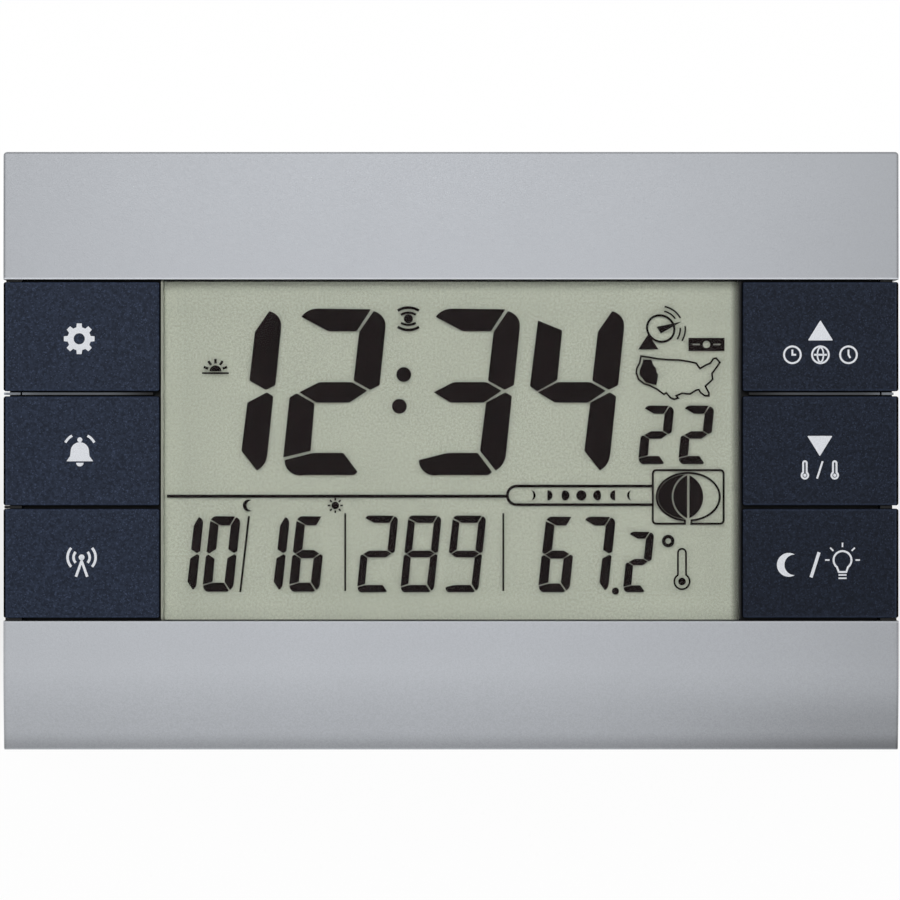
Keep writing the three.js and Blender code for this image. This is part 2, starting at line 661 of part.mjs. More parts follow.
// Circuit board with its screws and the parts on its back
function addBoard() {
  let board = block(span(boardHalfWidth), [boardFront, boardBack], span(boardHalfHeight));
  for (const [x, z] of boardScrewPlaces) {
    const hole = depthBar(
      x, z, [0, boardBack + WALL], BOARD_SCREW_RADIUS + SLIDE_GAP, SMALL_SIDES);
    board = board.subtract(hole);
  }
  addPiece('main_board', board, boardGreen);
  const headFront = boardBack + SEAT_GAP;
  boardScrewPlaces.forEach(([x, z], i) => {
    const head = depthBar(
      x, z, [headFront, headFront + BOARD_SCREW_HEAD_THICKNESS],
      BOARD_SCREW_HEAD_RADIUS, SMALL_SIDES);
    const shank = depthBar(
      x, z, [headFront - BOARD_SCREW_LENGTH, headFront + SEAT_GAP],
      BOARD_SCREW_RADIUS, SMALL_SIDES);
    addPiece(`board_screw_${i + 1}`, head.add(shank), steel);
  });
  const partsFront = boardBack + SEAT_GAP;
  const capProfile = [new THREE.Vector2(0, 0)];
  for (let i = 0; i < CORNER_STEPS; i += 1) {
    const angle = (i / CORNER_STEPS) * (Math.PI / 2);
    capProfile.push(new THREE.Vector2(
      CHIP_CAP_RADIUS * Math.cos(angle), CHIP_CAP_HEIGHT * Math.sin(angle)));
  }
  capProfile.push(new THREE.Vector2(0, CHIP_CAP_HEIGHT));
  const chipCap = solidOf(new THREE.LatheGeometry(capProfile, ROUND_SIDES));
  addPiece('chip_cap', chipCap.translate([CHIP_CAP_X, partsFront, PARTS_Z]), blackPlastic);
  addPiece('quartz_crystal', crossBar(
    around(CRYSTAL_X, CRYSTAL_LENGTH / 2), partsFront + CRYSTAL_RADIUS, PARTS_Z,
    CRYSTAL_RADIUS, SMALL_SIDES), steel);
  addPiece('temperature_sensor', depthBar(
    sensorX, sensorZ, [partsFront, partsFront + 2 * SENSOR_RADIUS],
    SENSOR_RADIUS, SMALL_SIDES), blackPlastic);
  addPiece('capacitor', depthBar(
    CAPACITOR_X, PARTS_Z, [partsFront, partsFront + CAPACITOR_LENGTH],
    CAPACITOR_RADIUS, SMALL_SIDES), blackPlastic);
}

// Aerial: ferrite rod with its winding, and the small receiver board beside it
function addAerial() {
  const depth = aerialDepth;
  addPiece('ferrite_rod', crossBar(span(AERIAL_LENGTH / 2), depth, aerialZ, AERIAL_RADIUS), ferrite);
  const windingLimits = around(-AERIAL_WINDING_X / 2, AERIAL_WINDING_LENGTH / 2);
  const winding = crossBar(
    windingLimits, depth, aerialZ, AERIAL_RADIUS + SLIDE_GAP + AERIAL_WINDING_THICKNESS,
  ).subtract(crossBar(span(AERIAL_LENGTH), depth, aerialZ, AERIAL_RADIUS + SLIDE_GAP));
  addPiece('aerial_winding', winding, copper);
  const receiverFront = BAR_THICKNESS + RECEIVER_STAND_OFF + SEAT_GAP;
  addPiece('receiver_board', block(
    around(receiverX, receiverHalf),
    [receiverFront, receiverFront + RECEIVER_THICKNESS],
    around(aerialZ, RECEIVER_HEIGHT / 2)), boardGreen);
}

// Rear shell: hull with the battery bay, the stand's pocket, screw posts and the sounder's seat
function rearShell() {
  const hull = roundedHull(
    rearHalfWidth, rearHalfHeight, REAR_CORNER_RADIUS, [rearFront, CASE_DEPTH], REAR_EDGE_RADIUS,
  ).subtract(belowBase(0));
  const cavity = roundedHull(
    rearHalfWidth - WALL, rearHalfHeight - WALL, REAR_CORNER_RADIUS - WALL,
    [rearFront - WALL, rearInside], REAR_EDGE_RADIUS - WALL,
  ).subtract(belowBase(WALL));
  const bayOuter = block(
    span(BAY_HALF_LENGTH + BAY_WALL), [bayFloor - BAY_WALL, rearInside + WALL / 2],
    around(BAY_Z, bayHalfHeight + BAY_WALL));
  const ledgeOuter = block(
    span(doorHalfWidth + COVER_GAP + DOOR_LEDGE), [bayMouth - WALL, rearInside + WALL / 2],
    around(BAY_Z, doorHalfHeight + COVER_GAP + WALL / 2));
  const pocketTop = STAND_PIVOT_Z + STAND_BARREL_RADIUS + 2 * SLIDE_GAP;
  const pocketTub = block(
    span(pocketHalf + STAND_PIN_BITE + WALL / 2),
    [pocketFloor - STAND_POCKET_WALL, rearInside + WALL / 2],
    [-BEYOND / 2, pocketTop + STAND_POCKET_WALL]);
  const posts = caseScrewPlaces.map(([x, z]) =>
    depthBar(x, z, [rearFront, rearInside + WALL / 2], CASE_POST_RADIUS));
  const ringBack = rearInside + WALL / 2;
  const sounderRing = depthBar(
    sounderX, sounderZ, [rearInside - SOUNDER_RING_LENGTH, ringBack],
    SOUNDER_RADIUS + SLIDE_GAP + SOUNDER_RING_THICKNESS, LARGE_SIDES,
  ).subtract(joined(
    depthBar(sounderX, sounderZ, [0, rearInside - SOUNDER_LEDGE],
      SOUNDER_RADIUS + SLIDE_GAP, LARGE_SIDES),
    depthBar(sounderX, sounderZ, [0, rearInside], SOUNDER_RADIUS - SOUNDER_LEDGE, LARGE_SIDES),
  ));
  let shell = joined(
    hull.subtract(cavity), bayOuter, ledgeOuter, pocketTub, sounderRing, ...posts,
  ).intersect(hull);

  const lipLimits = [FRONT_SHELL_DEPTH - SHELL_LIP_LENGTH, rearFront + SEAT_GAP];
  const lipGap = SLIDE_GAP;
  const lipOuter = block(
    span(innerHalfWidth - lipGap), lipLimits, span(innerHalfHeight - lipGap),
  ).subtract(belowBase(WALL + lipGap));
  const lipInner = block(
    span(innerHalfWidth - lipGap - SHELL_LIP_THICKNESS), [0, CASE_DEPTH / 2],
    span(innerHalfHeight - lipGap - SHELL_LIP_THICKNESS),
  ).subtract(belowBase(WALL + lipGap + SHELL_LIP_THICKNESS));
  shell = shell.add(lipOuter.subtract(lipInner));

  const bay = block(
    span(BAY_HALF_LENGTH), [bayFloor, CASE_DEPTH + WALL], around(BAY_Z, bayHalfHeight));
  const doorRecess = block(
    span(doorHalfWidth + COVER_GAP), [bayMouth, CASE_DEPTH + WALL],
    around(BAY_Z, doorHalfHeight + COVER_GAP));
  const stubSlots = block(
    span(doorHalfWidth + DOOR_STUB_LENGTH + COVER_GAP),
    [doorAxisDepth - DOOR_STUB_RADIUS - COVER_GAP, CASE_DEPTH + WALL],
    around(doorAxisZ, DOOR_STUB_RADIUS + COVER_GAP));
  const fingerNotch = block(
    span(DOOR_NOTCH_HALF_WIDTH), [CASE_DEPTH - DOOR_NOTCH_DEPTH, CASE_DEPTH + WALL],
    [BAY_Z + doorHalfHeight, BAY_Z + doorHalfHeight + COVER_GAP + DOOR_NOTCH_HEIGHT]);
  const pocket = block(
    span(pocketHalf), [pocketFloor, CASE_DEPTH + WALL], [-BEYOND / 2, pocketTop]);
  const pinHole = crossBar(
    span(pocketHalf + STAND_PIN_BITE + PIN_GAP), pivotDepth, STAND_PIVOT_Z,
    STAND_PIN_RADIUS + PIN_GAP, SMALL_SIDES);
  shell = without(
    shell, bay, doorRecess, stubSlots, fingerNotch, pocket, pinHole, ...footPockets);

  for (const [x, z] of caseScrewPlaces) {
    shell = without(
      shell,
      depthBar(x, z, [0, CASE_DEPTH + WALL], CASE_SCREW_RADIUS + SEAT_GAP, SMALL_SIDES),
      depthBar(x, z, [CASE_SCREW_SEAT_DEPTH, CASE_DEPTH + WALL],
        CASE_SCREW_HEAD_RADIUS + SLIDE_GAP),
    );
  }
  const soundHoles = [[0, 0]];
  for (let i = 0; i < SOUNDER_HOLE_COUNT; i += 1) {
    const angle = (i / SOUNDER_HOLE_COUNT) * 2 * Math.PI;
    soundHoles.push([SOUNDER_HOLE_CIRCLE * Math.cos(angle), SOUNDER_HOLE_CIRCLE * Math.sin(angle)]);
  }
  for (const [x, z] of soundHoles) {
    const hole = depthBar(
      sounderX + x, sounderZ + z, [rearInside - WALL, CASE_DEPTH + WALL],
      SOUNDER_HOLE_RADIUS, SMALL_SIDES);
    shell = shell.subtract(hole);
  }
  return shell;
}

function addCaseScrews() {
  const headFront = CASE_SCREW_SEAT_DEPTH + SEAT_GAP;
  caseScrewPlaces.forEach(([x, z], i) => {
    const head = depthBar(
      x, z, [headFront, headFront + CASE_SCREW_HEAD_THICKNESS],
      CASE_SCREW_HEAD_RADIUS, SMALL_SIDES);
    const shank = depthBar(
      x, z, [headFront - CASE_SCREW_LENGTH, headFront + SEAT_GAP],
      CASE_SCREW_RADIUS, SMALL_SIDES);
    addPiece(`case_screw_${i + 1}`, head.add(shank), steel);
  });
}

function addSounder() {
  const back = rearInside - SOUNDER_LEDGE - SEAT_GAP;
  addPiece('sounder_disc', depthBar(
    sounderX, sounderZ, [back - SOUNDER_THICKNESS, back], SOUNDER_RADIUS, LARGE_SIDES), brass);
}

// Battery door: a flat lid with a rounded lower edge that turns on two stubs
function addBatteryDoor() {
  const radius = DOOR_THICKNESS / 2;
  const lid = joined(
    block(span(doorHalfWidth), [doorInside, CASE_DEPTH], [doorAxisZ, BAY_Z + doorHalfHeight]),
    crossBar(span(doorHalfWidth), doorAxisDepth, doorAxisZ, radius),
    crossBar(span(doorHalfWidth + DOOR_STUB_LENGTH), doorAxisDepth, doorAxisZ,
      DOOR_STUB_RADIUS, SMALL_SIDES),
  );
  addPiece('battery_door', lid, rearPlastic);
}

// Two cells side by side, nose to tail, with a plate or a spring at each end
function addBatteries() {
  const plateInner = BAY_HALF_LENGTH - SEAT_GAP - CONTACT_THICKNESS;
  const noseEnd = plateInner - SEAT_GAP;
  const tailEnd = noseEnd - CELL_LENGTH;
  const bodyEnd = noseEnd - CELL_NUB_LENGTH;
  const cell = joined(
    crossBar([tailEnd, bodyEnd], 0, 0, CELL_RADIUS),
    crossBar([bodyEnd - WALL, noseEnd], 0, 0, CELL_NUB_RADIUS, SMALL_SIDES),
  );
  const upperZ = BAY_Z + CELL_PITCH / 2;
  const lowerZ = BAY_Z - CELL_PITCH / 2;
  addPiece('cell_upper', cell.translate([0, cellDepth, upperZ]), cellJacket);
  addPiece('cell_lower', cell.rotate([0, 0, 180]).translate([0, cellDepth, lowerZ]), cellJacket);

  const contactDepth = around(cellDepth, CONTACT_WIDTH / 2);
  const plateLimits = [plateInner, plateInner + CONTACT_THICKNESS];
  const mirrored = plateLimits.map((x) => -x).reverse();
  const single = CONTACT_WIDTH / 2;
  addPiece('bridge_plate', block(
    plateLimits, contactDepth, [lowerZ - single, upperZ + single]), steel);
  addPiece('negative_plate', block(mirrored, contactDepth, around(upperZ, single)), steel);
  addPiece('positive_plate', block(mirrored, contactDepth, around(lowerZ, single)), steel);

  const wireRadius = CONTACT_SPRING_WIRE / 2;
  const springStart = plateInner - SEAT_GAP - wireRadius;
  const springEnd = -tailEnd + SEAT_GAP + wireRadius;
  const steps = CONTACT_SPRING_TURNS * SPRING_STEPS_PER_TURN;
  const helix = [];
  for (let i = 0; i <= steps; i += 1) {
    const part = i / steps;
    const angle = part * CONTACT_SPRING_TURNS * 2 * Math.PI;
    helix.push([
      springStart + (springEnd - springStart) * part,
      CONTACT_SPRING_RADIUS * Math.cos(angle),
      CONTACT_SPRING_RADIUS * Math.sin(angle),
    ]);
  }
  const coil = tube(helix, wireRadius, WIRE_SIDES, steps);
  addPiece('bridge_spring', coil.translate([0, cellDepth, lowerZ]), spring);
  addPiece('negative_spring', coil.rotate([0, 0, 180]).translate([0, cellDepth, upperZ]), spring);

  const bayOutside = -BAY_HALF_LENGTH - BAY_WALL - SEAT_GAP - LEAD_RADIUS;
  const boardSurface = boardBack + SEAT_GAP;
  const leadTo = (z, drop) => tube([
    [bayOutside, cellDepth, z],
    [bayOutside, cellDepth - CELL_RADIUS, z],
    [bayOutside - LEAD_RADIUS, (cellDepth + boardSurface) / 2 - LEAD_RADIUS, z - drop / 2],
    [bayOutside - 2 * LEAD_RADIUS, boardSurface, z - drop],
  ], LEAD_RADIUS, WIRE_SIDES, LEAD_STEPS);
  addPiece('negative_lead', leadTo(upperZ, CELL_PITCH / 2), blackLead);
  addPiece('positive_lead', leadTo(lowerZ, CELL_PITCH / 2), redLead);
}

// Stand: a leg that hangs from a pin across its pocket, opened onto its stop
function addStand() {
  addPiece('stand_pin', crossBar(
    span(pocketHalf + STAND_PIN_BITE), pivotDepth, STAND_PIVOT_Z, STAND_PIN_RADIUS, SMALL_SIDES), steel);

  const stand = new THREE.Group();
  stand.position.set(0, pivotDepth, STAND_PIVOT_Z);
  stand.rotation.x = swing;
  leaningCase.add(stand);

  const halfThickness = STAND_THICKNESS / 2;
  const tipZ = -standLength + STAND_FOOT_HEIGHT;
  const outline = new THREE.Shape();
  outline.moveTo(-STAND_TIP_WIDTH / 2, tipZ);
  outline.lineTo(STAND_TIP_WIDTH / 2, tipZ);
  outline.lineTo(STAND_WIDTH / 2, tipZ + STAND_FOOT_HEIGHT);
  outline.lineTo(STAND_WIDTH / 2, STAND_HEEL);
  outline.lineTo(-STAND_WIDTH / 2, STAND_HEEL);
  outline.lineTo(-STAND_WIDTH / 2, tipZ + STAND_FOOT_HEIGHT);
  const leg = joined(
    plate(outline, span(halfThickness)),
    crossBar(span(STAND_WIDTH / 2), 0, 0, STAND_BARREL_RADIUS),
  ).subtract(crossBar(span(STAND_WIDTH), 0, 0, STAND_PIN_RADIUS + PIN_GAP, SMALL_SIDES));
  addPiece('stand_leg', leg, rearPlastic, stand);

  const reach = swing - lean;
  const sole = below(-reach, -pivotHeight * Math.sin(reach), -pivotHeight * Math.cos(reach));
  const foot = block(
    span(STAND_TIP_WIDTH / 2), span(halfThickness), [-standLength - WALL, tipZ - STAND_FOOT_LAP],
  ).subtract(sole);
  addPiece('stand_foot', foot, footRubber, stand);
}

// Rubber feet, level with the table, in shallow pockets in the base
function addFeet() {
  const feet = new THREE.Group();
  feet.position.set(0, -halfHeight * Math.sin(lean), tableHeight);
  clock.add(feet);
  const height = FOOT_DROP + FOOT_POCKET_DEPTH - SEAT_GAP;
  footPlaces.forEach(([x, y], i) => {
    const geometry = new THREE.CylinderGeometry(FOOT_RADIUS, FOOT_RADIUS, height, ROUND_SIDES);
    geometry.rotateX(Math.PI / 2);
    geometry.translate(x, y, height / 2);
    addPiece(`foot_${i + 1}`, solidOf(geometry), footRubber, feet);
  });
}

addPiece('front_shell', frontShell(), silverPaint);
addPiece('inner_frame', innerFrame(), blackPlastic);
addKeys();
addDisplay();
addBoard();
addAerial();
addPiece('rear_shell', rearShell(), rearPlastic);
addCaseScrews();
addSounder();
addBatteryDoor();
addBatteries();
addStand();
addFeet();

// The origin goes to the middle of the finished clock's base.
clock.updateMatrixWorld(true);
const bounds = new THREE.Box3().setFromObject(clock, true);
const part = new THREE.Group();
clock.position.set(
  -(bounds.min.x + bounds.max.x) / 2,
  -(bounds.min.y + bounds.max.y) / 2,
  -bounds.min.z,
);
part.add(clock);

export default part;
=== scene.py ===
"""Dresses a packed desk alarm clock: its finishes, display figures, key symbols and stage.

Pieces are drawn in the leaning case's own frame, in millimetres: X to the right, depth from
the front face (0) to the back, and height up the face with 0 at its middle.
"""

import json
import math
from typing import NamedTuple

import bmesh
import bpy
from mathutils import Matrix, Vector


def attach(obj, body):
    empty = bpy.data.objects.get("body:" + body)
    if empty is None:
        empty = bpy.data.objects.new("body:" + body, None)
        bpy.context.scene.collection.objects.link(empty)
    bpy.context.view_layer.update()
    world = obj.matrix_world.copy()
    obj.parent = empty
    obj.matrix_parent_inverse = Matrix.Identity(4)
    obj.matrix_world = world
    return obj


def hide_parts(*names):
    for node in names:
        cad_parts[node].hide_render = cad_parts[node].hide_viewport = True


bl_info = {
    "name": "Desk alarm clock dressing",
    "version": (1, 0, 0),
    "blender": (4, 5, 0),
    "location": "View3D > Sidebar > Clock",
    "description": "Builds the visible pieces and finishes of a desk alarm clock on its packed model",
    "category": "Object",
}

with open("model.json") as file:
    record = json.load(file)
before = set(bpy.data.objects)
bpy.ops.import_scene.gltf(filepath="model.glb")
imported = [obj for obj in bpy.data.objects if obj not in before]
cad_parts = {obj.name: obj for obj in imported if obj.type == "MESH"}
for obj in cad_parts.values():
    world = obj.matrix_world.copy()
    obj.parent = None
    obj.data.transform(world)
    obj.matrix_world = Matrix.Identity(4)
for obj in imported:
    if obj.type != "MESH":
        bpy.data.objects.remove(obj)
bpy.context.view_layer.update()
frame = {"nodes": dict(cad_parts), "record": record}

MM = 0.001
MOUNT_HEIGHT_ON_FACE = 39.3

# Points closer than TOUCHING are one, and faces flatter to each other than FLAT_ANGLE are joined.
# Edges sharper than EDGE_ANGLE may be rounded. Shading breaks at SHARP_ANGLE, and a face with more
# corners than SMOOTH_CORNERS is a flat one.
TOUCHING = 0.0005
FLAT_ANGLE = math.radians(0.4)
EDGE_ANGLE = math.radians(40)
SHARP_ANGLE = math.radians(38)
SMOOTH_CORNERS = 9


def case_matrix():
    """The matrix that takes case millimetres to the row frame's metres."""
    mount = next(m for m in frame["record"]["mounts"] if m["name"] == "front_face")
    across = Vector((1, 0, 0))
    inward = -Vector(mount["axis"]).normalized()
    upward = across.cross(inward)
    middle = Vector(mount["pos_m"]) - upward * (MOUNT_HEIGHT_ON_FACE * MM)
    turn = Matrix((across, inward, upward)).transposed().to_4x4()
    return Matrix.Translation(middle) @ turn @ Matrix.Scale(MM, 4)


CASE = case_matrix()
INTO_CASE = CASE.inverted()


def case_box(node):
    """Lowest and highest corner of a CAD node in the case's frame, in millimetres."""
    points = [INTO_CASE @ vertex.co for vertex in frame["nodes"][node].data.vertices]
    low = Vector([min(point[i] for point in points) for i in range(3)])
    high = Vector([max(point[i] for point in points) for i in range(3)])
    return low, high


def linear(level):
    """A colour picker's 0 to 255 level as the linear share of light that shaders use."""
    share = level / 255
    return share / 12.92 if share <= 0.04045 else ((share + 0.055) / 1.055) ** 2.4


# Settings that a user would change


def length_setting(name, description, millimetres):
    """A length property whose default is given in millimetres."""
    return bpy.props.FloatProperty(
        name=name,
        description=description,
        default=millimetres * MM,
        min=0,
        unit="LENGTH",
        precision=5,
    )


def colour_setting(name, description, red, green, blue):
    """A colour property whose default is given as a colour picker shows it."""
    return bpy.props.FloatVectorProperty(
        name=name,
        description=description,
        default=(linear(red), linear(green), linear(blue)),
        subtype="COLOR",
        min=0,
        max=1,
    )


class ClockSizes(bpy.types.PropertyGroup):
    """Sizes of the visible pieces."""

    case_edge: length_setting("Case edge", "Rounding of the silver bars' outer edges", 0.3)
    lower_edge: length_setting("Lower edge", "Rounding of the lower bar's outer edges", 0.09)
    bar_edge: length_setting("Bar edge", "Rounding of the bars' edges beside keys and display", 0.16)
    lower_lip: length_setting("Lower lip", "How far the front's lower edge reaches down", 0.62)
    key_edge: length_setting("Key edge", "Rounding of a key's front edge", 0.28)
    rear_edge: length_setting("Rear edge", "Rounding of the cuts in the rear shell", 0.2)
    print_height: length_setting("Print height", "Thickness of the ink on keys and display", 0.03)
    symbol_line: length_setting("Symbol line", "Line width of the symbols on the keys", 0.52)
    glass_thickness: length_setting("Cell glass", "Thickness of the display's glass before its figures", 0.3)
    digit_height: length_setting("Digit height", "Height of the hours and minutes", 28.12)
    digit_width: length_setting("Digit width", "Width of an hour or minute digit", 14.93)
    lean_of_digits: bpy.props.FloatProperty(
        name="Slant", description="How far figures lean to the right for their height", default=0.105
    )


class ClockColours(bpy.types.PropertyGroup):
    """Colours of the finishes."""

    silver: colour_setting("Silver paint", "Metallic paint of the front shell", 173, 176, 181)
    rear: colour_setting("Rear plastic", "Moulded plastic of the rear shell, door and stand", 156, 159, 165)
    navy: colour_setting("Key paint", "Dark blue paint of the keys", 44, 52, 69)
    key_body: colour_setting("Key body", "Bare plastic at a key's sides", 8, 9, 12)
    label: colour_setting("Key print", "Print on the keys", 238, 241, 247)
    black: colour_setting("Inner frame", "Black plastic between keys and display", 18, 19, 21)
    divider: colour_setting("Divider", "Front of the thin ribs between the keys", 100, 104, 110)
    reflector: colour_setting("Display ground", "Reflector behind the display's figures", 165, 168, 155)
    figure: colour_setting("Display figure", "Dark figures of the display", 21, 14, 15)
    rubber: colour_setting("Rubber", "Feet and the stand's sole", 34, 35, 37)


def power_setting(name, description, watts):
    """A lamp's power in watts."""
    return bpy.props.FloatProperty(name=name, description=description, default=watts, unit="POWER")


class StageSettings(bpy.types.PropertyGroup):
    """Camera and light."""

    lens: bpy.props.FloatProperty(name="Lens", description="Focal length", default=200, unit="CAMERA")
    frame_width: length_setting("Frame width", "What the picture spans at the clock's face", 150.81)
    middle_x: length_setting("Aim to the left", "How far the picture's middle lies left of the face's", 0.17)
    middle_z: length_setting("Aim upwards", "How far the picture's middle lies above the face's", 0.04)
    ambient: bpy.props.FloatProperty(
        name="Ambient", description="Strength of the room's light", default=0.4, min=0, max=1
    )
    key_power: power_setting("Key light", "Power of the lamp before the clock", 2.5)
    fill_power: power_setting("Fill light", "Power of the lamp at the front right", 0.28)
    back_power: power_setting("Back light", "Power of the lamps behind the clock", 3.6)


def sizes():
    """The pieces' sizes as the user has set them."""
    return bpy.context.scene.clock_sizes


def colours():
    """The finishes' colours as the user has set them."""
    return bpy.context.scene.clock_colours


def in_mm(metres):
    """A property's length in the millimetres that pieces are drawn in."""
    return metres / MM


# Shader trees


class Value:
    """One socket of a node tree. Arithmetic on it adds Math nodes."""

    def __init__(self, tree, socket):
        self.tree = tree
        self.socket = socket

    def _with(self, operation, first, second=0.0, clamp=False):
        node = self.tree.nodes.new("ShaderNodeMath")
        node.operation = operation
        node.use_clamp = clamp
        for socket, item in zip(node.inputs, (first, second)):
            if isinstance(item, Value):
                self.tree.links.new(item.socket, socket)
            else:
                socket.default_value = item
        return Value(self.tree, node.outputs[0])

    def __add__(self, other):
        return self._with("ADD", self, other)

    __radd__ = __add__

    def __sub__(self, other):
        return self._with("SUBTRACT", self, other)

    def __rsub__(self, other):
        return self._with("SUBTRACT", other, self)

    def __mul__(self, other):
        return self._with("MULTIPLY", self, other)

    __rmul__ = __mul__

    def __abs__(self):
        return self._with("ABSOLUTE", self)

    def __gt__(self, other):
        return self._with("GREATER_THAN", self, other)

    def __lt__(self, other):
        return self._with("LESS_THAN", self, other)

    def clamped(self):
        """The value held between 0 and 1."""
        return self._with("ADD", self, 0.0, clamp=True)

    def wave(self):
        """The value's sine."""
        return self._with("SINE", self)


class Finish:
    """A material's or world's node tree, with short ways to add what most finishes use."""

    def __init__(self, owner):
        owner.use_nodes = True
        self.owner = owner
        self.tree = owner.node_tree
        self.tree.nodes.clear()

    def node(self, kind, settings=None, sockets=None):
        """Adds a node of a kind: first its settings, then its sockets' values or links."""
        node = self.tree.nodes.new(kind)
        for name, setting in (settings or {}).items():
            setattr(node, name, setting)
        for key, item in (sockets or {}).items():
            socket = node.inputs[key]
            if isinstance(item, Value):
                self.tree.links.new(item.socket, socket)
            elif socket.type == "RGBA":
                socket.default_value = (*item[:3], 1)
            else:
                socket.default_value = item
        return node

    def value(self, kind, output=0, settings=None, sockets=None):
        """Adds a node and returns one of its outputs."""
        return Value(self.tree, self.node(kind, settings, sockets).outputs[output])

    def place(self):
        """The point on the surface in case millimetres, and its three parts."""
        point = self.value("ShaderNodeTexCoord", "Object")
        shift, turn, _ = INTO_CASE.decompose()
        sockets = {"Vector": point, "Location": shift, "Rotation": turn.to_euler(), "Scale": (1 / MM,) * 3}
        in_case = self.value("ShaderNodeMapping", sockets=sockets)
        parts = self.node("ShaderNodeSeparateXYZ", sockets={"Vector": in_case})
        return in_case, [Value(self.tree, output) for output in parts.outputs]

    def stretched(self, point, scale):
        """A point whose three parts are multiplied by a scale's."""
        return self.value("ShaderNodeVectorMath", "Vector", {"operation": "MULTIPLY"}, {0: point, 1: scale})

    def noise(self, point, scale, detail=2.0, roughness=0.5):
        """Soft noise from 0 to 1, with about scale waves to the millimetre."""
        sockets = {"Vector": point, "Scale": scale, "Detail": detail, "Roughness": roughness}
        return self.value("ShaderNodeTexNoise", "Fac", sockets=sockets)

    def specks(self, point, scale):
        """A value from 0 to 1 that is the same over each small cell."""
        settings = {"voronoi_dimensions": "3D", "feature": "F1"}
        colour = self.value("ShaderNodeTexVoronoi", "Color", settings, {"Vector": point, "Scale": scale})
        parts = self.node("ShaderNodeSeparateColor", sockets={"Color": colour})
        return Value(self.tree, parts.outputs[0])

    def between(self, share, first, second):
        """A colour that goes from the first to the second."""
        return self.value("ShaderNodeMix", 2, {"data_type": "RGBA"}, {0: share, 6: first, 7: second})

    def scaled(self, colour, factor):
        """A colour made lighter or darker by a factor that varies."""
        sockets = {0: colour, "Scale": factor}
        return self.value("ShaderNodeVectorMath", "Vector", {"operation": "SCALE"}, sockets)

    def step(self, value, start, end):
        """0 before start, 1 after end, and a smooth rise between them."""
        settings = {"interpolation_type": "SMOOTHSTEP"}
        sockets = {"Value": value, "From Min": start, "From Max": end, "To Min": 0.0, "To Max": 1.0}
        return self.value("ShaderNodeMapRange", "Result", settings, sockets)

    def bump(self, height, depth, strength=1.0):
        """A normal from a height of 0 to 1 that stands for a depth in millimetres."""
        sockets = {"Height": height, "Distance": depth * MM, "Strength": strength}
        return self.value("ShaderNodeBump", "Normal", sockets=sockets)

    def surface(self, **sockets):
        """The principled surface, and the tree's output."""
        named = {name.replace("_", " "): item for name, item in sockets.items()}
        shader = self.value("ShaderNodeBsdfPrincipled", "BSDF", sockets=named)
        self.show(shader)
        return self.owner

    def show(self, shader, kind="ShaderNodeOutputMaterial"):
        """Links a shader to the tree's output."""
        self.node(kind, sockets={"Surface": shader})


# Finishes. Their places are in case millimetres, and their shades are shares of a colour.


PALEST_X = -8.0
BAR_SIDE = 74.55
BAR_TOP = 49.6
PAINT_DEPTH = 0.1
RIM_HEIGHT = 28.75
RIM_DEPTH = 5.1
RIB_HEIGHT = 9.48
RIB_HALF = 0.3
RIB_FRONT = 0.7
DECK_EDGE = 72.1
WINDOW_EDGE = 48.72
KEY_SIDE = 74.62
KEY_MIDDLES = (19.048, -0.095, -18.948)
KEY_HALF = 9.152

# Linear colours of the clear panes and of what lies inside
WINDOW_TINT = (0.985, 0.99, 0.985)
GLASS_TINT = (0.98, 0.985, 0.975)
MILKY_WHITE = (0.78, 0.8, 0.76)
STRIP_CLEAR = (0.5, 0.48, 0.45)
STRIP_BLACK = (0.02, 0.02, 0.022)
BOARD_GREEN = (0.012, 0.11, 0.05)
TRACK_GREEN = (0.03, 0.2, 0.085)
STEEL_GREY = (0.56, 0.57, 0.58)
SPRING_GREY = (0.5, 0.51, 0.53)
BRASS_YELLOW = (0.62, 0.42, 0.16)
COPPER = (0.6, 0.22, 0.09)
DEEP_COPPER = (0.2, 0.06, 0.02)
FERRITE_BLACK = (0.035, 0.034, 0.036)
JACKET_BLUE = (0.03, 0.045, 0.075)
JACKET_GREY = (0.3, 0.31, 0.32)
JACKET_STRIPE = (0.62, 0.63, 0.64)
SCUFF_GREY = (0.4, 0.4, 0.4)
LEAD_RED = (0.4, 0.025, 0.02)
LEAD_BLACK = (0.012, 0.012, 0.013)
finishes = {}


def finish(make):
    """Keeps the material that a function makes, so that pieces of one finish share it."""

    def kept():
        name = make.__name__
        if name not in finishes:
            material = bpy.data.materials.new(name)
            make(Finish(material))
            finishes[name] = material
        return finishes[name]

    return kept


def shaded(colour, factor):
    """A colour made darker or lighter by a factor."""
    return tuple(min(1.0, channel * factor) for channel in colour)


def rib_shaded_colour(tree, x):
    """The front of the ribs between the keys: painted shade by the display and on the right-hand ribs, and a
    painted highlight at the outer end.
    """
    colour = colours().divider
    across = abs(x)
    # Painted shade: the right-hand ribs are darker, and so are the ribs by the display.
    right_shaded = tree.between(x > 0.0, colour, shaded(colour, 0.62))
    base = tree.between(tree.step(across, 50.0, 58.0), colours().key_body, right_shaded)
    # Painted highlight: the ribs grow pale towards their outer ends.
    base = tree.between(tree.step(across, 68.5, 74.5) * 0.75, base, shaded(colour, 2.6))
    return tree.between(tree.step(across, 74.4, 75.0), base, shaded(colour, 4.0))


def rib_front(height, depth):
    """1 on the front of the ribs between the upper keys."""
    return (abs(height - RIB_HEIGHT) < RIB_HALF) * (depth < RIB_FRONT)


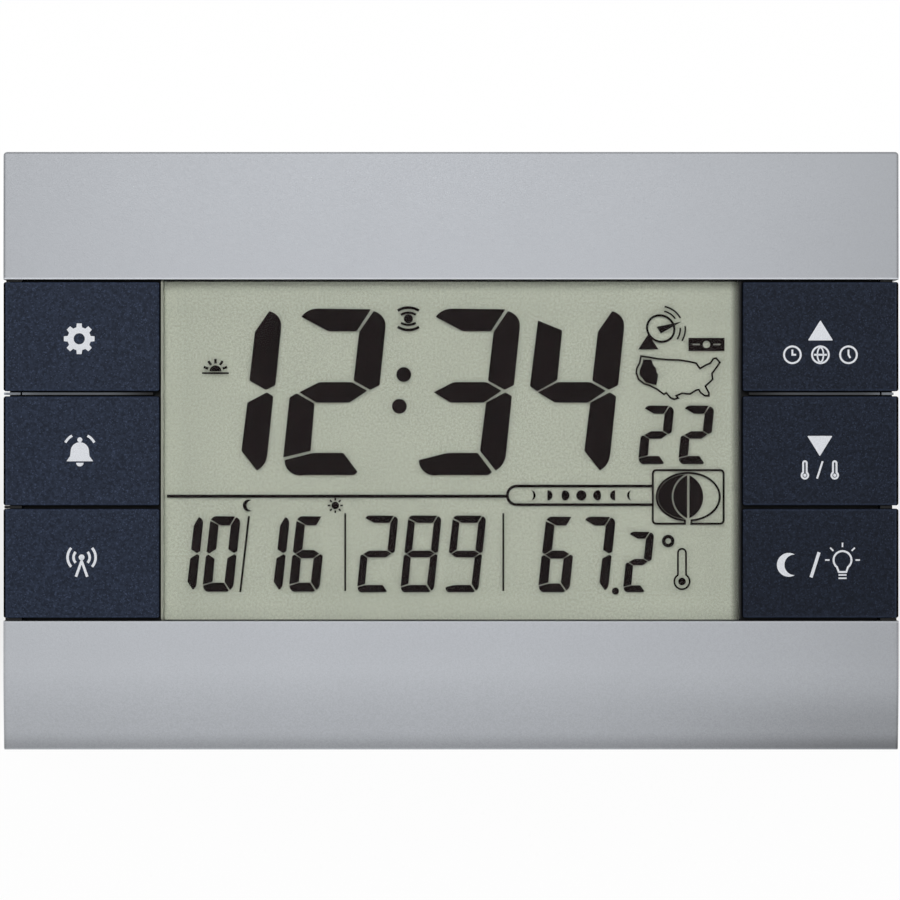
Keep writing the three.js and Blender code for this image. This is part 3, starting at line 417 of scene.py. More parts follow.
def bar_shade(tree, x, height):
    """Painted light and shade on the bars: palest left of the middle, with painted shade at the foot, low on
    the right and along the outline.
    """
    from_palest = x - PALEST_X
    lower_bar = tree.step(height, 24.0, -24.0)
    belly = tree.step(height, -32.0, -42.0)
    foot = tree.step(height, -47.0, -50.0) * tree.step(height, -50.1, -49.9)
    lower_right = tree.step(height, -39.0, -46.0) * tree.step(x, 20.0, 66.0)
    outline = tree.step(abs(x), BAR_SIDE, BAR_SIDE + 0.15) + tree.step(height, BAR_TOP, BAR_TOP + 0.2)
    shade = 0.94 - from_palest * from_palest * 0.00002
    shade = shade + lower_bar * (0.045 - x * 0.0008) + belly * 0.04
    return shade - foot * 0.28 - lower_right * 0.13 - outline.clamped() * 0.14


@finish
def silver_paint(tree):
    """Sprayed metallic paint: fine flakes under a thin satin coat, with painted light and shade."""
    point, (x, depth, height) = tree.place()
    colour = colours().silver
    flakes = tree.specks(point, 5.5)
    cloud = tree.noise(point, 0.05, detail=3)
    base = tree.between(flakes, shaded(colour, 0.92), shaded(colour, 1.07))
    base = tree.between(tree.step(cloud, 0.35, 0.7) * 0.12, base, shaded(colour, 0.85))
    # Painted light and shade across the bars.
    base = tree.scaled(base, bar_shade(tree, x, height))
    # Painted highlight: a paler line along the bars' edges beside the keys and display, fainter on the lower
    # bar.
    on_front = tree.step(depth, PAINT_DEPTH + 0.04, PAINT_DEPTH)
    at_the_edge = tree.step(abs(height), RIM_HEIGHT + 0.2, RIM_HEIGHT + 0.07)
    edge_highlight = at_the_edge * on_front * (1.0 - (height < 0.0) * 0.7)
    base = tree.between(edge_highlight, base, shaded(colour, 1.36))
    # Painted shade: the shell's faces inside the gaps, under the bars and behind keys and display, are
    # painted black and not metallic.
    inside = (abs(height) < RIM_HEIGHT) * (depth > PAINT_DEPTH) * (depth < RIM_DEPTH)
    rib = inside * rib_front(height, depth)
    base = tree.between(inside, base, colours().black)
    # The ribs' fronts take their painted light and shade.
    base = tree.between(rib, base, rib_shaded_colour(tree, x))
    grain = tree.noise(point, 4.0, detail=3) + flakes * 0.4
    tree.surface(
        Base_Color=base,
        Metallic=0.6 - inside * 0.6,
        Roughness=0.44 + flakes * 0.1,
        Normal=tree.bump(grain, 0.01),
        Specular_IOR_Level=0.3,
    )


def moulded(tree, colour, roughness, grain_scale=2.4, grain_depth=0.02):
    """Moulded plastic with a spark-eroded grain and slightly uneven colour."""
    point, _ = tree.place()
    grain = tree.noise(point, grain_scale, detail=4, roughness=0.62)
    cloud = tree.noise(point, 0.06, detail=2)
    base = tree.between(tree.step(cloud, 0.3, 0.75), shaded(colour, 0.95), shaded(colour, 1.05))
    base = tree.between(tree.step(grain, 0.3, 0.7) * 0.3, base, shaded(colour, 0.85))
    tree.surface(
        Base_Color=base,
        Roughness=roughness + grain * 0.12,
        Normal=tree.bump(grain, grain_depth),
    )


@finish
def rear_plastic(tree):
    """Grey plastic of the rear shell, door and stand."""
    moulded(tree, colours().rear, 0.46)


@finish
def black_plastic(tree):
    """Black plastic of switches and small parts."""
    moulded(tree, colours().black, 0.45)


@finish
def white_plastic(tree):
    """Milky plastic that spreads the display's light."""
    moulded(tree, MILKY_WHITE, 0.4, grain_scale=1.2)


@finish
def inner_plastic(tree):
    """Black satin plastic, with painted light and shade on the ribs' fronts and painted shade at the gaps'
    outer ends. The left rim has a painted highlight in the display's colour.
    """
    point, (x, depth, height) = tree.place()
    grain = tree.noise(point, 2.2, detail=3)
    # Painted shade: darker beyond the deck's edge, where the gaps run out.
    base = tree.between(abs(x) > DECK_EDGE, colours().black, shaded(colours().key_body, 0.5))
    rib = rib_front(height, depth) * (abs(x) > WINDOW_EDGE)
    base = tree.between(rib, base, rib_shaded_colour(tree, x))
    # Painted highlight: the left rim in a paler display colour, standing in for the display's lit left edge.
    left_rim_highlight = (x > -WINDOW_EDGE) * (x < -48.3) * (depth < 8.0)
    base = tree.between(left_rim_highlight, base, shaded(colours().reflector, 1.4))
    tree.surface(
        Base_Color=base,
        Roughness=0.4 + grain * 0.1,
        Normal=tree.bump(grain, 0.012),
        Specular_IOR_Level=0.2,
    )


@finish
def key_paint(tree):
    """Dark blue speckled paint on a key's front over a bare black body, with painted highlights at its edges
    and painted shade on the right-hand keys.
    """
    point, (x, depth, height) = tree.place()
    colour = colours().navy
    coarse = tree.specks(point, 2.9)
    fine = tree.specks(point, 6.0)
    mottle = tree.noise(point, 1.3, detail=4, roughness=0.65)
    base = tree.between(coarse, shaded(colour, 0.6), shaded(colour, 1.45))
    base = tree.between(tree.step(mottle, 0.4, 0.64) * 0.6, base, shaded(colour, 0.62))
    base = tree.between(tree.step(fine, 0.86, 1.0) * 0.7, base, shaded(colour, 2.8))
    # Painted shade: the right-hand keys are darker, the lower right ones most.
    base = tree.between(tree.step(x, -66.0, 66.0) * 0.4, base, colours().key_body)
    base = tree.between(tree.step(height, 2.0, -26.0) * (x > 0.0) * 0.18, base, colours().key_body)
    # Painted highlight: paler lines inside each key's outer side and along its upper and lower edges.
    across = abs(x)
    edge_highlight = tree.step(across, KEY_SIDE - 0.32, KEY_SIDE - 0.2) * 0.6
    edge_highlight = edge_highlight * tree.step(across, KEY_SIDE, KEY_SIDE - 0.12)
    for middle in KEY_MIDDLES:
        away = abs(height - middle)
        at_the_edge = tree.step(away, KEY_HALF - 0.42, KEY_HALF - 0.3) * (away < KEY_HALF + 0.1)
        edge_highlight = edge_highlight + at_the_edge * 0.45
    base = tree.between(edge_highlight.clamped() * 0.4, base, shaded(colour, 2.4))
    bare = (tree.step(depth, PAINT_DEPTH, 0.16) + tree.step(across, KEY_SIDE, KEY_SIDE + 0.1)).clamped()
    base = tree.between(bare, base, colours().key_body)
    side = (across > KEY_SIDE) * tree.step(depth, 0.45, 0.8)
    base = tree.between(side, base, shaded(colour, 0.6))
    tree.surface(
        Base_Color=base,
        Roughness=0.42 + coarse * 0.12,
        Normal=tree.bump(mottle + coarse * 0.3, 0.025),
        Specular_IOR_Level=0.0,
        Coat_Weight=0.12 * (1.0 - bare) + side * 0.25,
        Coat_Roughness=0.4,
    )


@finish
def key_print(tree):
    """Silver-white ink pressed on by a pad."""
    point, _ = tree.place()
    grain = tree.noise(point, 5.0, detail=3)
    colour = colours().label
    base = tree.between(tree.step(grain, 0.35, 0.65), shaded(colour, 0.9), shaded(colour, 1.03))
    tree.surface(Base_Color=base, Roughness=0.5, Metallic=0.1, Normal=tree.bump(grain, 0.006))


@finish
def figure_ink(tree):
    """The dark state of the liquid crystal, a little uneven."""
    point, _ = tree.place()
    cloud = tree.noise(point, 0.35, detail=2)
    colour = colours().figure
    base = tree.between(cloud, shaded(colour, 0.85), shaded(colour, 1.15))
    tree.surface(Base_Color=base, Roughness=0.6 + cloud * 0.1, Specular_IOR_Level=0.0)


@finish
def reflector(tree):
    """The display's olive ground: a fine-grained reflector, with painted light by the rim, painted shade at
    the right edge and painted shadow lines at top and foot.
    """
    point, (x, _, height) = tree.place()
    colour = colours().reflector
    grain = tree.noise(point, 2.6, detail=4, roughness=0.75)
    cloud = tree.noise(point, 0.045, detail=1)
    base = tree.between(tree.step(grain, 0.38, 0.62), shaded(colour, 0.86), shaded(colour, 1.12))
    base = tree.between(tree.step(cloud, 0.35, 0.7) * 0.35, base, shaded(colour, 0.95))
    # Painted light: the ground is paler near its top, foot and sides.
    above = 0.16 - tree.step(28.4 - abs(height), 0.0, 6.0) * 0.16
    beside = 0.14 - tree.step(47.9 - abs(x), 0.0, 4.0) * 0.14
    base = tree.scaled(base, above + beside + 1.0)
    # Painted shade: dark towards the right edge.
    base = tree.between(tree.step(x, 46.9, 48.2) * 0.75, base, shaded(colour, 0.12))
    # Painted shadow: thin black lines where the bars meet the display.
    shadow_line = (tree.step(height, 28.36, 28.42) + tree.step(height, -28.5, -28.56)).clamped()
    base = tree.between(shadow_line, base, colours().black)
    tree.surface(Base_Color=base, Roughness=0.62, Normal=tree.bump(grain, 0.01), Specular_IOR_Level=0.25)


def clear(tree, tint, roughness, index):
    """A clear pane that lets light through to what lies behind it."""
    point, _ = tree.place()
    faint = tree.noise(point, 0.12, detail=3)
    pane = tree.value(
        "ShaderNodeBsdfPrincipled",
        "BSDF",
        sockets={
            "Base Color": tree.between(faint, shaded(tint, 0.985), tint),
            "Roughness": roughness + tree.step(faint, 0.5, 0.9) * 0.02,
            "IOR": index,
            "Transmission Weight": 1.0,
        },
    )
    passing = tree.value("ShaderNodeBsdfTransparent", "BSDF", sockets={"Color": tint})
    is_shadow = tree.value("ShaderNodeLightPath", "Is Shadow Ray")
    tree.show(tree.value("ShaderNodeMixShader", "Shader", sockets={0: is_shadow, 1: pane, 2: passing}))


@finish
def clear_window(tree):
    """The window's clear plastic."""
    clear(tree, WINDOW_TINT, 0.015, 1.12)


@finish
def display_glass(tree):
    """The thin glass before the display's figures."""
    clear(tree, GLASS_TINT, 0.01, 1.08)


@finish
def foot_rubber(tree):
    """Matt rubber with a little dust on it."""
    point, _ = tree.place()
    grain = tree.noise(point, 3.5, detail=4)
    dust = tree.noise(point, 0.9, detail=3)
    colour = colours().rubber
    base = tree.between(tree.step(dust, 0.52, 0.8) * 0.4, colour, shaded(colour, 2.4))
    tree.surface(Base_Color=base, Roughness=0.75 + grain * 0.15, Normal=tree.bump(grain, 0.03))


@finish
def strip_rubber(tree):
    """Contact strip: thin conducting layers between clear ones."""
    _, (x, _, _) = tree.place()
    layers = tree.step((x * 20).wave(), -0.3, 0.3)
    base = tree.between(layers, STRIP_CLEAR, STRIP_BLACK)
    tree.surface(Base_Color=base, Roughness=0.6 + layers * 0.15)


@finish
def circuit_board(tree):
    """Green solder mask over etched tracks."""
    point, (x, _, height) = tree.place()
    weave = (x * 9).wave() * (height * 9).wave()
    tracks = tree.step((height * 2.2 + tree.noise(point, 0.08) * 9).wave(), 0.35, 0.5)
    base = tree.between(tracks * 0.6, BOARD_GREEN, TRACK_GREEN)
    tree.surface(
        Base_Color=base,
        Roughness=0.32 + tracks * 0.1,
        Normal=tree.bump(tracks * 0.7 + weave * 0.1, 0.03),
        Coat_Weight=0.3,
    )


def metal(tree, colour, roughness, scale=3.0):
    """Drawn or plated metal with fine scratches and a few dull spots."""
    point, _ = tree.place()
    scratches = tree.noise(tree.stretched(point, (0.4, 6.0, 2.0)), scale, detail=4, roughness=0.7)
    spots = tree.step(tree.noise(point, 0.9, detail=3), 0.55, 0.8)
    base = tree.between(spots * 0.5, colour, shaded(colour, 0.72))
    tree.surface(
        Base_Color=base,
        Metallic=1.0,
        Roughness=roughness + scratches * 0.12 + spots * 0.15,
        Normal=tree.bump(scratches, 0.008),
    )


@finish
def steel(tree):
    """Plated steel of screws, plates and cell ends."""
    metal(tree, STEEL_GREY, 0.22)


@finish
def spring_steel(tree):
    """Bright drawn wire of the battery springs."""
    metal(tree, SPRING_GREY, 0.16, scale=5.0)


@finish
def brass(tree):
    """Brass of the sounder's disc."""
    metal(tree, BRASS_YELLOW, 0.26)


@finish
def copper_winding(tree):
    """Enamelled wire laid turn beside turn along the rod."""
    point, (x, _, _) = tree.place()
    turns = (x * 21).wave()
    base = tree.between(tree.step(turns, -0.8, 0.6), DEEP_COPPER, COPPER)
    tree.surface(
        Base_Color=base,
        Metallic=0.85,
        Roughness=0.3 + tree.noise(point, 2.0) * 0.15,
        Normal=tree.bump(turns * 0.5 + 0.5, 0.12),
    )


@finish
def ferrite(tree):
    """Dark sintered rod of the aerial."""
    moulded(tree, FERRITE_BLACK, 0.6, grain_scale=4.0, grain_depth=0.03)


@finish
def cell_jacket(tree):
    """Printed foil round a cell, with plain bands and no words."""
    point, (x, _, _) = tree.place()
    along = abs(x)
    end_band = tree.step(along, 12.0, 12.15)
    stripe = tree.step(along, 10.9, 11.0) * tree.step(along, 11.6, 11.5)
    base = tree.between(end_band, JACKET_BLUE, JACKET_GREY)
    base = tree.between(stripe, base, JACKET_STRIPE)
    scuff = tree.noise(point, 1.6, detail=4)
    base = tree.between(tree.step(scuff, 0.58, 0.85) * 0.3, base, SCUFF_GREY)
    tree.surface(Base_Color=base, Metallic=0.25, Roughness=0.3 + scuff * 0.12, Coat_Weight=0.3)


@finish
def red_lead(tree):
    """Sleeve of the positive lead."""
    moulded(tree, LEAD_RED, 0.4, grain_scale=1.0)


@finish
def black_lead(tree):
    """Sleeve of the negative lead."""
    moulded(tree, LEAD_BLACK, 0.4, grain_scale=1.0)


# Outlines in the case's face plane: lists of (x, height) in millimetres


def arc(x, z, radius, start, end, count=12, flat=1.0):
    """Points on an arc from one angle to another, in degrees. flat squeezes its height."""
    points = []
    for index in range(count + 1):
        angle = math.radians(start + (end - start) * index / count)
        points.append((x + radius * math.cos(angle), z + flat * radius * math.sin(angle)))
    return points


def circle(x, z, radius, count=32, flat=1.0):
    """A closed ring of points."""
    return arc(x, z, radius, 0, 360, count, flat)[:-1]


def box_outline(x0, z0, x1, z1, corner=0.0):
    """A rectangle, with round corners where corner isn't 0."""
    if not corner:
        return [(x0, z0), (x1, z0), (x1, z1), (x0, z1)]
    points = []
    corners = ((x1 - corner, z0 + corner, 270), (x1 - corner, z1 - corner, 0))
    corners += ((x0 + corner, z1 - corner, 90), (x0 + corner, z0 + corner, 180))
    for x, z, start in corners:
        points += arc(x, z, corner, start, start + 90, 5)
    return points


def turned(points, angle, middle=(0, 0)):
    """Points turned about a middle by an angle in degrees."""
    cosine, sine = math.cos(math.radians(angle)), math.sin(math.radians(angle))
    result = []
    for x, z in points:
        dx, dz = x - middle[0], z - middle[1]
        result.append((middle[0] + cosine * dx - sine * dz, middle[1] + sine * dx + cosine * dz))
    return result


def moved(points, x, z):
    """Points moved across and up."""
    return [(px + x, pz + z) for px, pz in points]


def slanted(points, foot, share):
    """Points pushed to the right by a share of their height above a foot line."""
    return [(x + (z - foot) * share, z) for x, z in points]


def band(points, width, closed=False):
    """The outlines of a line of even width: one outline, or two where the line is closed."""
    left, right = [], []
    count = len(points)
    for index, point in enumerate(points):
        before = points[index - 1] if closed or index else None
        after = points[(index + 1) % count] if closed or index < count - 1 else None
        here = Vector(point)
        ways = []
        if before is not None:
            ways.append((here - Vector(before)).normalized())
        if after is not None:
            ways.append((Vector(after) - here).normalized())
        way = (ways[0] + ways[-1]).normalized()
        side = Vector((-way.y, way.x))
        reach = width / 2 / max(0.35, way.dot(ways[0]))
        left.append(tuple(here + side * reach))
        right.append(tuple(here - side * reach))
    if closed:
        return [left, right]
    return [left + right[::-1]]


def softened(points, radius, steps=3):
    """An outline whose corners are rounded off."""
    result = []
    count = len(points)
    for index, point in enumerate(points):
        here = Vector(point)
        to_before = Vector(points[index - 1]) - here
        to_after = Vector(points[(index + 1) % count]) - here
        reach = min(radius, to_before.length * 0.4, to_after.length * 0.4)
        start = here + to_before.normalized() * reach
        end = here + to_after.normalized() * reach
        for step in range(steps + 1):
            share = step / steps
            first = start.lerp(here, share)
            second = here.lerp(end, share)
            result.append(tuple(first.lerp(second, share)))
    return result


# Forms: bmesh bodies in case millimetres


def flat_form(groups, front, thickness):
    """Flat plates. Each group is a list of outlines, and an outline inside another is a hole."""
    form = bmesh.new()
    for outlines in groups:
        curve = bpy.data.curves.new("outline", "CURVE")
        curve.dimensions = "2D"
        curve.fill_mode = "BOTH"
        curve.extrude = thickness / 2
        for outline in outlines:
            spline = curve.splines.new("POLY")
            spline.points.add(len(outline) - 1)
            for point, (x, z) in zip(spline.points, outline):
                point.co = (x, z, 0, 1)
            spline.use_cyclic_u = True
        holder = bpy.data.objects.new("outline", curve)
        mesh = bpy.data.meshes.new_from_object(holder)
        form.from_mesh(mesh)
        bpy.data.objects.remove(holder)
        bpy.data.curves.remove(curve)
        bpy.data.meshes.remove(mesh)
    bmesh.ops.remove_doubles(form, verts=form.verts, dist=1e-4)
    stand_up = Matrix.Rotation(math.radians(90), 4, "X")
    form.transform(Matrix.Translation((0, front + thickness / 2, 0)) @ stand_up)
    bmesh.ops.recalc_face_normals(form, faces=form.faces)
    return form


def cad_form(node):
    """A CAD node's mesh in case millimetres, with its flat faces joined."""
    form = bmesh.new()
    form.from_mesh(frame["nodes"][node].data)
    form.transform(INTO_CASE)
    bmesh.ops.remove_doubles(form, verts=form.verts, dist=TOUCHING)
    bmesh.ops.dissolve_limit(form, angle_limit=FLAT_ANGLE, verts=form.verts, edges=form.edges)
    return form


def back_faces(form, depth):
    """The faces that lie flat at a depth and look to the back."""
    backwards = [face for face in form.faces if face.normal.y > 0.999]
    return {face for face in backwards if abs(face.calc_center_median().y - depth) < 0.01}


def even_flats(form, depth):
    """Splits the back faces at a depth into good triangles, so that rounding their holes folds nothing."""
    many_sided = [face for face in back_faces(form, depth) if len(face.verts) > 4]
    bmesh.ops.triangulate(form, faces=many_sided, quad_method="BEAUTY", ngon_method="BEAUTY")
    flat = back_faces(form, depth)
    inner = [edge for edge in form.edges if len(edge.link_faces) == 2 and set(edge.link_faces) <= flat]
    bmesh.ops.beautify_fill(form, faces=list(flat), edges=inner, method="ANGLE")


def round_edges(form, width, chosen, steps=2):
    """Rounds the outward edges between two points that chosen() accepts."""
    picked = []
    for edge in form.edges:
        if len(edge.link_faces) != 2 or edge.calc_face_angle_signed() < EDGE_ANGLE:
            continue
        first, second = (vertex.co for vertex in edge.verts)
        if chosen(first, second):
            picked.append(edge)
    bmesh.ops.bevel(
        form,
        geom=picked,
        offset=width,
        offset_type="OFFSET",
        segments=steps,
        profile=0.5,
        affect="EDGES",
        clamp_overlap=False,
    )
    return form


def ring(form, centre, side, other, radius, count):
    """New vertices evenly round a centre, in the plane of two directions."""
    made = []
    for index in range(count):
        angle = 2 * math.pi * index / count
        made.append(form.verts.new(centre + (side * math.cos(angle) + other * math.sin(angle)) * radius))
    return made


def join_rings(form, rings):
    """Faces between each ring and the next, where a ring may also be a single point."""
    for first, second in zip(rings, rings[1:]):
        count = max(len(first), len(second))
        for index in range(count):
            following = (index + 1) % count
            corners = [first[index % len(first)], first[following % len(first)]]
            corners += [second[following % len(second)], second[index % len(second)]]
            form.faces.new(list(dict.fromkeys(corners)))


def turned_form(profile, middle, along, count=40):
    """A form turned on a lathe. profile holds (distance along, radius) from one end to the other."""
    form = bmesh.new()
    along = Vector(along).normalized()
    side = along.orthogonal().normalized()
    other = along.cross(side)
    rings = []
    for distance, radius in profile:
        centre = Vector(middle) + along * distance
        if radius < TOUCHING:
            rings.append([form.verts.new(centre)])
        else:
            rings.append(ring(form, centre, side, other, radius, count))
    join_rings(form, rings)
    bmesh.ops.recalc_face_normals(form, faces=form.faces)
    return form


def wire_form(points, radius, sides=10):
    """A round wire along points, closed at both ends."""
    form = bmesh.new()
    rings = []
    side = (points[1] - points[0]).orthogonal().normalized()
    for index, point in enumerate(points):
        way = (points[min(index + 1, len(points) - 1)] - points[max(index - 1, 0)]).normalized()
        side = (side - way * side.dot(way)).normalized()
        rings.append(ring(form, point, side, way.cross(side), radius, sides))
    join_rings(form, rings)
    form.faces.new(rings[0][::-1])
    form.faces.new(rings[-1])
    bmesh.ops.recalc_face_normals(form, faces=form.faces)
    return form


def merged(forms):
    """Several forms as one."""
    whole = forms[0]
    for form in forms[1:]:
        mesh = bpy.data.meshes.new("part")
        form.to_mesh(mesh)
        form.free()
        whole.from_mesh(mesh)
        bpy.data.meshes.remove(mesh)
    return whole


def add_object(name, form, material):
    """Turns a form that is in metres into an object of one material."""
    mesh = bpy.data.meshes.new(name)
    form.to_mesh(mesh)
    form.free()
    mesh.materials.append(material)
    made = bpy.data.objects.new(name, mesh)
    bpy.context.scene.collection.objects.link(made)
    return made


def add_piece(name, form, material, body="root", stands_for=()):
    """Turns a form into a named piece that rides on a body and may stand for CAD nodes."""
    form.transform(CASE)
    for face in form.faces:
        face.smooth = len(face.verts) <= SMOOTH_CORNERS
    for edge in form.edges:
        edge.smooth = edge.calc_face_angle(math.pi) < SHARP_ANGLE
    piece = add_object(name, form, material)
    shading = piece.modifiers.new("Even shading", "WEIGHTED_NORMAL")
    shading.keep_sharp = True
    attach(piece, body)
    if stands_for:
        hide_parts(*stands_for)
    return piece


def refinish(nodes, material):
    """Gives CAD nodes that stay a finer material."""
    for name in nodes:
        for material_slot in frame["nodes"][name].material_slots:
            material_slot.material = material


# The front


KEYS = ("set_key", "alarm_key", "wave_key", "up_key", "down_key", "light_key")
CASE_HALF_HEIGHT = 50
SHELL_SEAM = 12
LEAN = math.radians(12)
BAR_EDGE = 28.6
BAR_FRONT = 1.6
FRAME_EDGE = 72.0

# The gaps round the keys, where black strips stand in for shade: low and high edge, and how far they reach
# to the left and the right
GAPS = ((28.26, 28.59, 74.6, 74.05), (-9.76, -9.3, 74.9, 74.0), (-28.59, -28.16, 74.75, 74.72))
GAP_FRONT = 0.7
GAP_THICKNESS = 1.3
RIB_END = (-74.95, 9.28, -74.2, 9.68)


def on_a_bar(first, second):
    """Whether an edge lies in the front of the silver bars."""
    return max(first.y, second.y) < BAR_FRONT and min(abs(first.z), abs(second.z)) > BAR_EDGE - 0.6


def beside_the_keys(first, second):
    """Whether an edge of a bar runs along the keys and the display."""
    return on_a_bar(first, second) and max(abs(first.z), abs(second.z)) < BAR_EDGE + 0.1


def at_the_top_rim(first, second):
    """Whether an edge belongs to the upper bar's outline."""
    return on_a_bar(first, second) and max(first.z, second.z) > BAR_EDGE + 1


def at_the_lower_rim(first, second):
    """Whether an edge belongs to the lower bar's outline."""
    return on_a_bar(first, second) and min(first.z, second.z) < -BAR_EDGE - 1


class CLOCK_OT_front_shell(bpy.types.Operator):
    """The silver bars and sides, with rounded front edges"""

    bl_idname = "clock.front_shell"
    bl_label = "Front shell"

    def execute(self, context):
        form = cad_form("front_shell")
        lip = in_mm(sizes().lower_lip)
        for vertex in form.verts:
            depth, height = vertex.co.yz
            bottom = -CASE_HALF_HEIGHT + depth * math.tan(LEAN)
            if height - bottom < 0.35 and depth < SHELL_SEAM:
                vertex.co.z -= lip * (1 - depth / SHELL_SEAM)
        round_edges(form, in_mm(sizes().bar_edge), beside_the_keys, 2)
        round_edges(form, in_mm(sizes().case_edge), at_the_top_rim, 3)
        round_edges(form, in_mm(sizes().lower_edge), at_the_lower_rim, 3)
        add_piece("silver_front", form, silver_paint(), stands_for=["front_shell"])
        return {"FINISHED"}


class CLOCK_OT_inner_frame(bpy.types.Operator):
    """The black frame behind the keys and round the display, with its ribs' outer ends and black strips that
    stand in for shade in the gaps
    """

    bl_idname = "clock.inner_frame"
    bl_label = "Inner frame"

    def execute(self, context):
        refinish(["inner_frame"], inner_plastic())
        # Black strips in the gaps' outer ends stand in for shade there.
        strips = []
        for low, high, left_end, right_end in GAPS:
            strips.append([box_outline(-left_end, low, -FRAME_EDGE, high)])
            strips.append([box_outline(FRAME_EDGE, low, right_end, high)])
        form = flat_form(strips, GAP_FRONT, GAP_THICKNESS)
        add_piece("gap_shadow_strips", form, inner_plastic())
        end = flat_form([[box_outline(*RIB_END)]], 0.5, 2.0)
        add_piece("frame_rib_end", end, inner_plastic())
        return {"FINISHED"}


class CLOCK_OT_keys(bpy.types.Operator):
    """The six side keys, with rounded edges and painted fronts"""

    bl_idname = "clock.keys"
    bl_label = "Keys"

    def execute(self, context):
        width = in_mm(sizes().key_edge)
        for key in KEYS:
            form = cad_form(key)
            round_edges(form, width, lambda first, second: max(first.y, second.y) < TOUCHING, 3)
            add_piece(f"{key}_cap", form, key_paint(), key, [key])
            refinish([key.replace("_key", "_plunger")], black_plastic())
        return {"FINISHED"}


def gear(x, z, radius):
    """A toothed wheel with a hole."""
    rim = []
    for tooth in range(8):
        middle = tooth * 45
        for angle, reach in ((-14, 0.76), (-9, 1.0), (9, 1.0), (14, 0.76)):
            rim += turned([(x + radius * reach, z)], middle + angle, (x, z))
    return [[rim, circle(x, z, radius * 0.36)]]


def bell(x, z, line):
    """An alarm bell: dome, brim, clapper and two sound marks."""
    brim, waist = 2.25, 1.62
    dome = arc(x, z + 0.1, 1.55, 180, 0, 16)
    outer = [(x - brim, z - 1.55), (x - waist, z - 0.7), *dome, (x + waist, z - 0.7), (x + brim, z - 1.55)]
    clapper = arc(x, z - 1.8, 0.62, 180, 360, 10)
    knob = circle(x, z + 2.05, 0.42, 16)
    marks = [band(arc(x, z + 0.3, 2.75, start, start + 34, 6), line * 0.8) for start in (28, 118)]
    return [[softened(outer, 0.12)], [clapper], [knob]] + marks


def mast(x, z, line):
    """A radio mast between two pairs of waves."""
    groups = [band([(x - 0.95, z - 2.3), (x, z + 0.35), (x + 0.95, z - 2.3)], line * 0.85)]
    groups.append([circle(x, z + 0.95, 0.5, 20)])
    for radius in (1.35, 2.35):
        for start in (-42, 138):
            groups.append(band(arc(x, z + 0.95, radius, start, start + 84, 12), line * 0.85))
    return groups


def triangle(x, z, size, upwards=True):
    """A filled triangle that points up or down."""
    way = 1 if upwards else -1
    points = [(x - size * 0.62, z - way * size * 0.5), (x + size * 0.62, z - way * size * 0.5)]
    return [[softened(points + [(x, z + way * size * 0.5)], 0.18)]]


def globe(x, z, radius, line):
    """A globe with an equator and a meridian."""
    groups = [band(circle(x, z, radius), line, closed=True)]
    groups.append([box_outline(x - radius + line, z - line / 2, x + radius - line, z + line / 2)])
    meridian = [(x + (px - x) * 0.42, pz) for px, pz in circle(x, z, radius - line * 0.6)]
    groups.append(band(meridian, line * 0.8, closed=True))
    return groups


def clock_face(x, z, radius, line, hour_angle):
    """A round clock face with two hands. The minute hand stands upright."""
    groups = [band(circle(x, z, radius), line, closed=True)]
    hour = turned([(x + radius * 0.45, z)], hour_angle, (x, z))[0]
    groups.append(band([(x, z + radius * 0.62), (x, z), hour], line))
    return groups


def thermometer(x, z, height, line):
    """A thermometer, drawn as an outline with a filled bulb."""
    bulb = height * 0.19
    stem = height * 0.1
    foot = z - height / 2 + bulb
    outline = arc(x, z + height / 2 - stem, stem, 0, 180, 10)
    outline += arc(x, foot, bulb, 122, 418, 24)
    return [band(outline, line, closed=True), [circle(x, foot, bulb * 0.5, 20)]]


def crescent(x, z, radius):
    """A waning moon."""
    outer = arc(x, z, radius, 60, 300, 24)
    inner = arc(x + radius * 0.5, z, radius * 0.866, 270, 90, 20)
    return [[outer + inner[1:-1]]]


def lamp_bulb(x, z, height, line):
    """A light bulb with a ribbed cap and rays."""
    radius = height * 0.3
    top = z + height * 0.14
    neck, neck_foot = radius * 0.42, z - height * 0.26
    glass = arc(x, top, radius, -52, 232, 26) + [(x - neck, neck_foot), (x + neck, neck_foot)]
    groups = [band(glass, line, closed=True)]
    rib, half_line = radius * 0.45, line * 0.4
    for share in (0.36, 0.47):
        middle = z - height * share
        groups.append([box_outline(x - rib, middle - half_line, x + rib, middle + half_line)])
    ray = [(x + radius * 1.45, top), (x + radius * 1.95, top)]
    for angle in range(0, 225, 45):
        groups.append(band(turned(ray, angle, (x, top)), line * 0.8))
    return groups


def slash(x, z, height, line):
    """A slanted stroke between two symbols."""
    return [band([(x - height * 0.16, z - height / 2), (x + height * 0.16, z + height / 2)], line)]


def key_symbols(line):
    """Outline groups for each key."""
    small = line * 0.62
    up = triangle(61.9, 20.1, 3.4)
    up += clock_face(57.2, 16.0, 1.4, small, 0)
    up += globe(61.9, 16.0, 1.4, small)
    up += clock_face(66.6, 16.0, 1.4, small, -60)
    down = triangle(61.8, 0.7, 3.4, upwards=False)
    down += thermometer(59.3, -3.3, 2.9, small)
    down += slash(61.8, -3.3, 2.9, small)
    down += thermometer(64.3, -3.3, 2.9, small)
    light = crescent(56.6, -19.2, 2.0)
    light += slash(61.0, -19.2, 4.2, line)
    light += lamp_bulb(65.6, -19.1, 5.0, small)
    return {
        "set_key": gear(-62.3, 18.68, 2.6),
        "alarm_key": bell(-62.2, -0.3, line),
        "wave_key": mast(-61.9, -18.9, line),
        "up_key": up,
        "down_key": down,
        "light_key": light,
    }


class CLOCK_OT_key_print(bpy.types.Operator):
    """The printed symbols on the keys"""

    bl_idname = "clock.key_print"
    bl_label = "Key print"

    def execute(self, context):
        thickness = in_mm(sizes().print_height)
        for key, groups in key_symbols(in_mm(sizes().symbol_line)).items():
            form = flat_form(groups, -thickness * 0.8, thickness)
            add_piece(f"{key}_symbol", form, key_print(), key)
        return {"FINISHED"}


# The display


GLASS_FRONT = 4.0
INK_FRONT = 4.4
REFLECTOR_FRONT = 5.0

